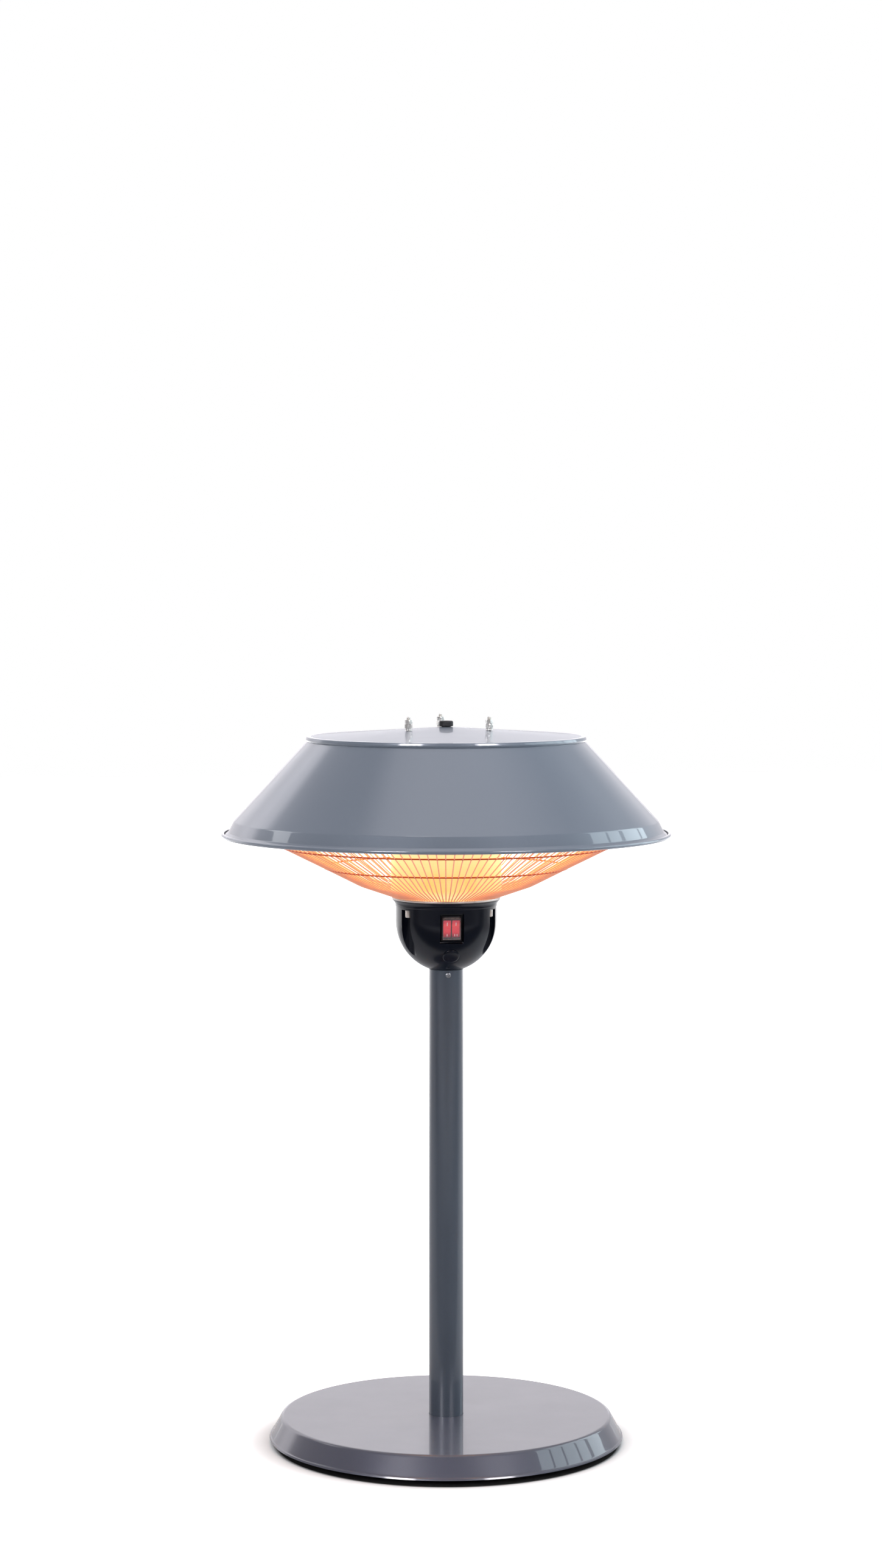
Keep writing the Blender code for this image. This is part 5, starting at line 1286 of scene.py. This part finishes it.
def plug_place():
    """The middle of the blanking plug on the bowl's skin, looking out."""
    y, z = -math.cos(PLUG_ANGLE), -math.sin(PLUG_ANGLE)
    return shift(0, y * BOWL_RADIUS, BOWL_EQUATOR_Z + z * BOWL_DEPTH) @ spin(RIGHT_ANGLE + PLUG_ANGLE, "X")


def rod_place(k):
    return spin(ROD_START + TURN * k / ROD_COUNT) @ shift(ROD_CIRCLE, 0, 0)


def rod_bores(radius, low, high, material):
    """A cylinder on each tie rod's axis."""
    bm = bmesh.new()
    for k in range(ROD_COUNT):
        turned_mesh(bm, cylinder_outline(radius, low, high), 64, rod_place(k))
    return to_object("bores", bm, material)


def make_bowl():
    """The black bowl with its switch pocket, three flutes, collar and plug."""
    black = "gloss_black"
    bottom = bowl_bottom()
    spigot = POLE_RADIUS - POLE_WALL - GAP
    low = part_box("bowl")[0].z
    neck = rounded(
        [
            (BOWL_RADIUS, BOWL_EQUATOR_Z + SHEET),
            (BOWL_RADIUS, COLLAR_Z),
            (BOWL_RADIUS + COLLAR_STEP, COLLAR_Z + COLLAR_STEP),
            (BOWL_RADIUS + COLLAR_STEP, BOWL_NECK_Z),
            (BOWL_LIP_RADIUS, BOWL_LIP_Z - COLLAR_STEP),
            (BOWL_LIP_RADIUS, BOWL_LIP_Z),
        ],
        NECK_BENDS,
    )
    floor = bottom + BOWL_FLOOR
    outline = [(BOWL_BORE, low), (spigot, low), (spigot, bottom)] + bowl_arc(0, bottom, 40) + neck
    outline += [(BOWL_RADIUS - BOWL_WALL, BOWL_LIP_Z)] + bowl_arc(BOWL_WALL, floor, 24)[::-1]
    bowl = turned("bowl_shell", outline + [(BOWL_BORE, floor)], black)
    middle = (0, SWITCH_Z)
    half = (POCKET_WIDTH / 2, POCKET_HEIGHT / 2)
    outer = (half[0] + POCKET_WALL, half[1] + POCKET_WALL)
    depth = (-POCKET_FLOOR - POCKET_REACH, -POCKET_FLOOR + POCKET_WALL)
    housing = block("housing", middle, outer, depth, black)
    pillars = rod_bores(FLUTE_RADIUS + POCKET_WALL, bottom + PILLAR_LIFT, FLUTE_TOP_Z + PILLAR_ROOF, black)
    carve(pillars, turned("trim", inner_trim(bottom), black), operation="INTERSECT")
    carve(bowl, housing, pillars, operation="UNION")
    plug_hole = cylinder_outline(PLUG_STEM_RADIUS + GAP, -OVERRUN, OVERRUN)
    carve(
        bowl,
        block("pocket", middle, half, (-BOWL_RADIUS - OVERRUN, -POCKET_FLOOR), black, POCKET_CORNER, 4),
        block("window", middle, WINDOW_HALF, WINDOW_DEPTH, black),
        rod_bores(FLUTE_RADIUS, bottom - OVERRUN, FLUTE_TOP_Z, black),
        rod_bores(ROD_RADIUS + GAP, FLUTE_TOP_Z - OVERRUN, BOWL_LIP_Z + OVERRUN, black),
        turned("hole", plug_hole, black, 48, plug_place()),
    )
    edge = bowl.modifiers.new("edge", "BEVEL")
    edge.width = BOWL_BEVEL
    edge.segments = 3
    edge.limit_method = "ANGLE"
    edge.angle_limit = BOWL_BEVEL_ANGLE
    baked(bowl)
    smooth(bowl.data)
    keep(bowl, "gloss_black", "bowl")
    make_plug(black)


def inner_trim(bottom):
    """The space just inside the bowl's outer skin, for the flute walls to end in."""
    low = bottom + TRIM_LIFT
    wall = bowl_arc(TRIM_INSET, low, 30)
    return [(0, low)] + wall + [(BOWL_RADIUS - TRIM_INSET, BOWL_LIP_Z), (0, BOWL_LIP_Z)]


def make_plug(black):
    """The blanking plug: a head domed like the bowl, and a hollow stem."""
    rim = PLUG_HEAD_RADIUS - PLUG_EDGE
    steps = [rim * k / 8 for k in range(9)]
    dome = [(r, PLUG_RISE - r * r / 2 / BOWL_RADIUS) for r in steps]
    corners = [
        dome[-1], (PLUG_HEAD_RADIUS, PLUG_RISE - PLUG_SKIRT), (PLUG_HEAD_RADIUS, -PLUG_EDGE),
        (PLUG_STEM_RADIUS, -PLUG_SEAT),
    ]
    bore = PLUG_STEM_RADIUS - PLUG_WALL
    stem = [(PLUG_STEM_RADIUS, -PLUG_STEM), (bore, -PLUG_STEM), (bore, 0), (0, 0)]
    outline = dome[:-1] + rounded(corners, PLUG_BENDS, 4) + stem
    keep(turned("blanking_plug_cap", outline, black, 72, plug_place()), "gloss_black", "blanking_plug")


def make_switch():
    """The double switch: its frame and case with blades, two rockers and the clear cover."""
    low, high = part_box("switch_body")
    front = low.y
    nylon = "black_nylon"
    bezel = soft_box("switch_housing", low, (high.x, front + BEZEL_DEPTH, high.z), nylon, BEZEL_EDGE)
    depth = (front + CASE_START, front + CASE_END)
    carve(bezel, block("case", (0, SWITCH_Z), CASE_HALF, depth, nylon, CASE_EDGE), operation="UNION")
    for side in (-1, 1):
        middle = (side * ROCKER_X, SWITCH_Z)
        carve(bezel, block("well", middle, WELL_HALF, (front - OVERRUN, front + WELL_END), nylon))
    pieces = [bezel]
    depth = (front + BLADE_START, front + BLADE_END)
    for side in (-1, 1):
        for rise in (-1, 0, 1):
            middle = (side * ROCKER_X, SWITCH_Z + rise * BLADE_PITCH)
            pieces.append(block("blade", middle, BLADE_HALF, depth, "bright", BLADE_EDGE, 2))
    keep(joined("switch_housing_and_blades", pieces), "black_nylon", "switch_body")
    make_rocker("left", -1, (0.0,))
    make_rocker("right", 1, (-MARK_OFFSET, MARK_OFFSET))
    low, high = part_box("switch_boot")
    boot = soft_box("clear_rocker_cover", low, high, "clear", COVER_EDGE, 4, COVER_TAPER)
    wall = Vector((COVER_WALL, COVER_WALL, COVER_WALL))
    inside = (high.x - COVER_WALL, high.y + OVERRUN, high.z - COVER_WALL)
    carve(boot, soft_box("inside", low + wall, inside, "clear"))
    keep(boot, "clear_boot", "switch_boot")


def make_rocker(name, side, marks):
    """A rocker with rounded edges and a dished face, with a pale stroke near its top as a painted highlight,
    and small raised marks on it.
    """
    half, tall = ROCKER_HALF
    outline = [*ROCKER_FACE, (ROCKER_BACK, -tall)]
    outline += arc((ROCKER_HEEL, 0), ROCKER_HEEL, -RIGHT_ANGLE, RIGHT_ANGLE, 12) + [(ROCKER_BACK, tall)]
    bm = bmesh.new()
    near = [bm.verts.new((-half, y, z)) for y, z in outline]
    far = [bm.verts.new((half, y, z)) for y, z in outline]
    bm.faces.new(near[::-1])
    bm.faces.new(far)
    for i in range(len(outline)):
        n = (i + 1) % len(outline)
        bm.faces.new((near[i], near[n], far[n], far[i]))
    bmesh.ops.bevel(bm, geom=bm.edges, offset=ROCKER_EDGE, segments=2, affect="EDGES", clamp_overlap=True)
    pieces = [to_object("rocker", bm, "red")]
    for x in marks:
        pieces.append(block("mark", (x, MARK_Z), MARK_HALF, MARK_DEPTH, "mark", MARK_EDGE, 2))
    # Painted highlight: a pale stroke near the rocker's top
    pieces.append(block("stroke", (0, STROKE_Z), STROKE_HALF, STROKE_DEPTH, "mark", STROKE_EDGE, 2))
    made = joined(f"{name}_lit_rocker", pieces)
    moved(made, shift(side * ROCKER_X, ROCKER_Y, SWITCH_Z) @ spin(ROCKER_TILT, "X"))
    keep(made, "red_lens", f"rocker_{name}", body=f"{name}_rocker")


def make_reflectors():
    """The dish over the lamps. The lower reflector keeps its CAD shape."""
    corners = [
        (REFLECTOR_BORE, REFLECTOR_Z), (REFLECTOR_FLAT_RADIUS, REFLECTOR_Z),
        (REFLECTOR_RIM_RADIUS, REFLECTOR_RIM_Z), (REFLECTOR_FLANGE_RADIUS, REFLECTOR_RIM_Z),
    ]
    path = rounded(corners, REFLECTOR_BENDS)
    upper = turned("upper_reflector_dish", walled(path, SHEET), "reflector", 192)
    low, high = REFLECTOR_Z - OVERRUN, REFLECTOR_Z + OVERRUN
    carve(upper, rod_bores(ROD_RADIUS + GAP, low, high, "reflector"))
    keep(upper, "polished_aluminium", "upper_reflector")


def make_drum():
    """The mesh drum, with a map that wraps its weave round the wall."""
    low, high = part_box("drum")
    corners = [(DRUM_RADIUS, high.z), (DRUM_RADIUS, low.z + SHEET), (DRUM_FOOT_RADIUS, low.z + SHEET)]
    path = rounded(corners, (DRUM_BEND,), 12)
    drum = turned("gold_drum", walled(path, SHEET), "drum", 192)
    carve(drum, rod_bores(ROD_RADIUS + GAP, low.z - OVERRUN, low.z + OVERRUN, "drum"))
    wrap = drum.data.uv_layers.new(name="wrap")
    height = high.z - low.z
    for face in drum.data.polygons:
        middle = math.atan2(face.center.y, face.center.x)
        for loop in face.loop_indices:
            point = drum.data.vertices[drum.data.loops[loop].vertex_index].co
            angle = math.atan2(point.y, point.x)
            if angle - middle > math.pi:
                angle -= TURN
            if middle - angle > math.pi:
                angle += TURN
            wrap.data[loop].uv = (angle / TURN, (point.z - low.z) / height)
    keep(drum, "gold_mesh", "drum")


def make_guard():
    """Straight radial wires over three hoops, with a steel ferrule at the foot."""
    knees = [GUARD_FOOT, GUARD_KNEE, GUARD_LOWER, GUARD_UPPER, GUARD_OUTER]
    path = path_object("guard_radial_wires", [(r, 0, z) for r, z in rounded(knees, GUARD_BENDS, 5)])
    # The wires' finish carries painted lamp light
    wires = through_tree(path, WIRES, "wire", Wire_Radius=GUARD_WIRE, Sides=8, Copies=GUARD_WIRES)
    keep(wires, "hot_wire", "wire_guard", "wire_guard_inner")
    sink = (GUARD_WIRE + GUARD_RING_WIRE) * GUARD_RING_SINK
    rings = [ring(radius, height - sink) for radius, height in (GUARD_LOWER, GUARD_UPPER)]
    rings.append(ring(GUARD_OUTER[0], GUARD_OUTER[1] - GUARD_HEM_DROP))
    keep(joined("guard_hoops", rings), "hot_wire")
    low = BOWL_LIP_Z + FERRULE_LIFT
    profile = rounded([(r, low + rise) for r, rise in FERRULE], FERRULE_BENDS, 4)
    keep(turned("guard_foot_ferrule", profile, "ring_steel", 192), "hot_wire")


def ring(radius, height):
    points = [(x, y, height) for x, y in circle(radius, 192)]
    path = path_object("ring", points, True)
    return through_tree(path, WIRES, "ring_wire", Wire_Radius=GUARD_RING_WIRE, Sides=8, Copies=1)


def make_lamps():
    """Three quartz tubes, each with its coil and two ceramic ends."""
    half = LAMP_LENGTH / 2
    tube = tube_outline(LAMP_RADIUS - LAMP_WALL, LAMP_RADIUS, 0, LAMP_LENGTH)
    for number in range(1, LAMP_COUNT + 1):
        turn = spin(LAMP_START + TURN * (number - 1) / LAMP_COUNT)
        place = turn @ shift(LAMP_DISTANCE, 0, LAMP_Z)
        axis = place @ shift(0, -half, 0) @ spin(-RIGHT_ANGLE, "X")
        glass = turned(f"quartz_tube_{number}", tube, "quartz", 40, axis)
        keep(glass, "quartz", f"lamp_tube_{number}")
        seed = path_object(f"tungsten_coil_{number}", [(0, 0, 0), (0, 0, COIL_INSET)])
        length = LAMP_LENGTH - COIL_INSET * 2
        coil = through_tree(seed, COIL, "filament", Length=length, **COIL_SIZES)
        moved(coil, axis @ shift(0, 0, COIL_INSET))
        keep(coil, "glow", f"lamp_filament_{number}")
        for end, side in (("a", -1), ("b", 1)):
            cap = soft_box(f"lamp_end_block_{number}{end}", *LAMP_BLOCK, "ceramic", LAMP_BLOCK_EDGE)
            carve(cap, soft_box("groove", *LAMP_GROOVE, "ceramic"))
            moved(cap, place @ shift(0, side * (half + GAP), 0) @ spin(0 if side > 0 else math.pi))
            keep(cap, "ceramic", f"lamp_cap_{number}{end}")


def hex_nut(name, low, high, flats, bore, material):
    """A hexagon nut with chamfered corners and a countersunk bore."""
    bm = bmesh.new()
    chamfer = (high - low) * NUT_CHAMFER
    corner = flats / 2 / math.cos(math.pi / 6)
    levels = (low, low + chamfer, high - chamfer, high)
    rings = []
    for z, share in zip(levels, (NUT_FACE, 1.0, 1.0, NUT_FACE)):
        loop = []
        for k in range(NUT_STEPS):
            a = TURN * k / NUT_STEPS
            flat = flats / 2 / math.cos((a % (TURN / 6)) - TURN / 12)
            reach = min(flat, corner * share)
            loop.append(bm.verts.new((reach * math.cos(a), reach * math.sin(a), z)))
        rings.append(loop)
    for z, share in zip(levels[::-1], (NUT_SINK, 1.0, 1.0, NUT_SINK)):
        rings.append([bm.verts.new((x, y, z)) for x, y in circle(bore * share, NUT_STEPS)])
    bridge(bm, rings)
    return to_object(name, bm, material)


def thread_outline(low, high, radius, pitch, tip):
    """A rod whose side has one small ridge for each turn of its thread."""
    root = radius - pitch * THREAD_DEPTH
    outline = [(0, low), (radius - tip, low)]
    for i in range(int((high - low) / pitch) - 1):
        z = low + pitch * (i + 0.5)
        outline += [(root, z)] + [(radius, z + pitch * share) for share in THREAD_CREST]
    return outline + [(root, high - pitch), (radius - tip, high), (0, high)]


def make_rods():
    """The threaded rods, the nuts and split washers on the cap, and the sleeve nuts in the flutes."""
    bore = ROD_RADIUS + GAP
    for number in range(1, ROD_COUNT + 1):
        place = rod_place(number - 1)
        low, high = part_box(f"tie_rod_{number}")
        split = CAP_CROWN_Z - OVERRUN
        outline = [(0, low.z), (ROD_RADIUS, low.z), (ROD_RADIUS, split)]
        outline += thread_outline(split, high.z, ROD_RADIUS, THREAD_PITCH, THREAD_TIP)[1:]
        rod = turned(f"threaded_rod_{number}", outline, "bright", 40, place)
        keep(rod, "bright_steel", f"tie_rod_{number}")
        for kind, twist in (("lock_nut", LOCK_NUT_TWIST), ("top_nut", TOP_NUT_TWIST)):
            low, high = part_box(f"{kind}_{number}")
            nut = hex_nut(f"{kind}_{number}_hex", low.z, high.z, NUT_FLATS, bore, "bright")
            moved(nut, place @ spin(twist * number))
            keep(nut, "bright_steel", f"{kind}_{number}")
        make_split_washer(number, place)
        low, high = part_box(f"bottom_nut_{number}")
        radius = (high.x - low.x) / 2
        corners = [(0, low.z), (radius, low.z), (radius, high.z), (bore, high.z)]
        outline = rounded(corners, SLEEVE_BENDS, 5) + [(bore, SLEEVE_FLOOR_Z), (0, SLEEVE_FLOOR_Z)]
        sleeve = turned(f"sleeve_nut_{number}", outline, "bright", 48, place)
        keep(sleeve, "bright_steel", f"bottom_nut_{number}")


def make_split_washer(number, place):
    """A spring washer under the nuts: a waisted bush with a slanted split."""
    low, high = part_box(f"spring_washer_{number}")
    radius = (high.x - low.x) / 2
    bore = ROD_RADIUS + GAP
    middle = (low.z + high.z) / 2
    waist = (radius - WASHER_WAIST, low.z + (high.z - low.z) / 2)
    corners = [(bore, low.z), (radius, low.z), waist, (radius, high.z), (bore, high.z)]
    outline = rounded(corners, WASHER_BENDS, 4)
    washer = turned(f"spring_washer_{number}_split", outline, "bright", 48, place)
    cut = soft_box("cut", *WASHER_CUT, "bright")
    moved(cut, place @ shift(0, 0, middle) @ spin(WASHER_TURN + number) @ spin(WASHER_SLANT, "X"))
    carve(washer, cut)
    keep(washer, "zinc", f"spring_washer_{number}")


def finish_frame_nodes():
    """CAD nodes whose shape is right keep it and take a detailed finish."""
    zinc = ["tip_switch_pendulum", "base_plate", "pole_flange"]
    zinc += [f"{name}_{k}" for name in ("flange_bolt", "lamp_bracket") for k in (1, 2, 3)]
    plain = dict.fromkeys(zinc, "zinc") | PLAIN_NODES
    for node, material in plain.items():
        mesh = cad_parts[node].data
        mesh.materials.clear()
        mesh.materials.append(FINISH[material])


FINISH = all_materials()
place_camera()
light_studio()
make_floor()
WIRES = wire_tree()
COPIES = ring_tree()
COIL = coil_tree()
make_hood()
make_base()
make_pole()
make_bowl()
make_switch()
make_reflectors()
make_drum()
make_guard()
make_lamps()
make_rods()
finish_frame_nodes()
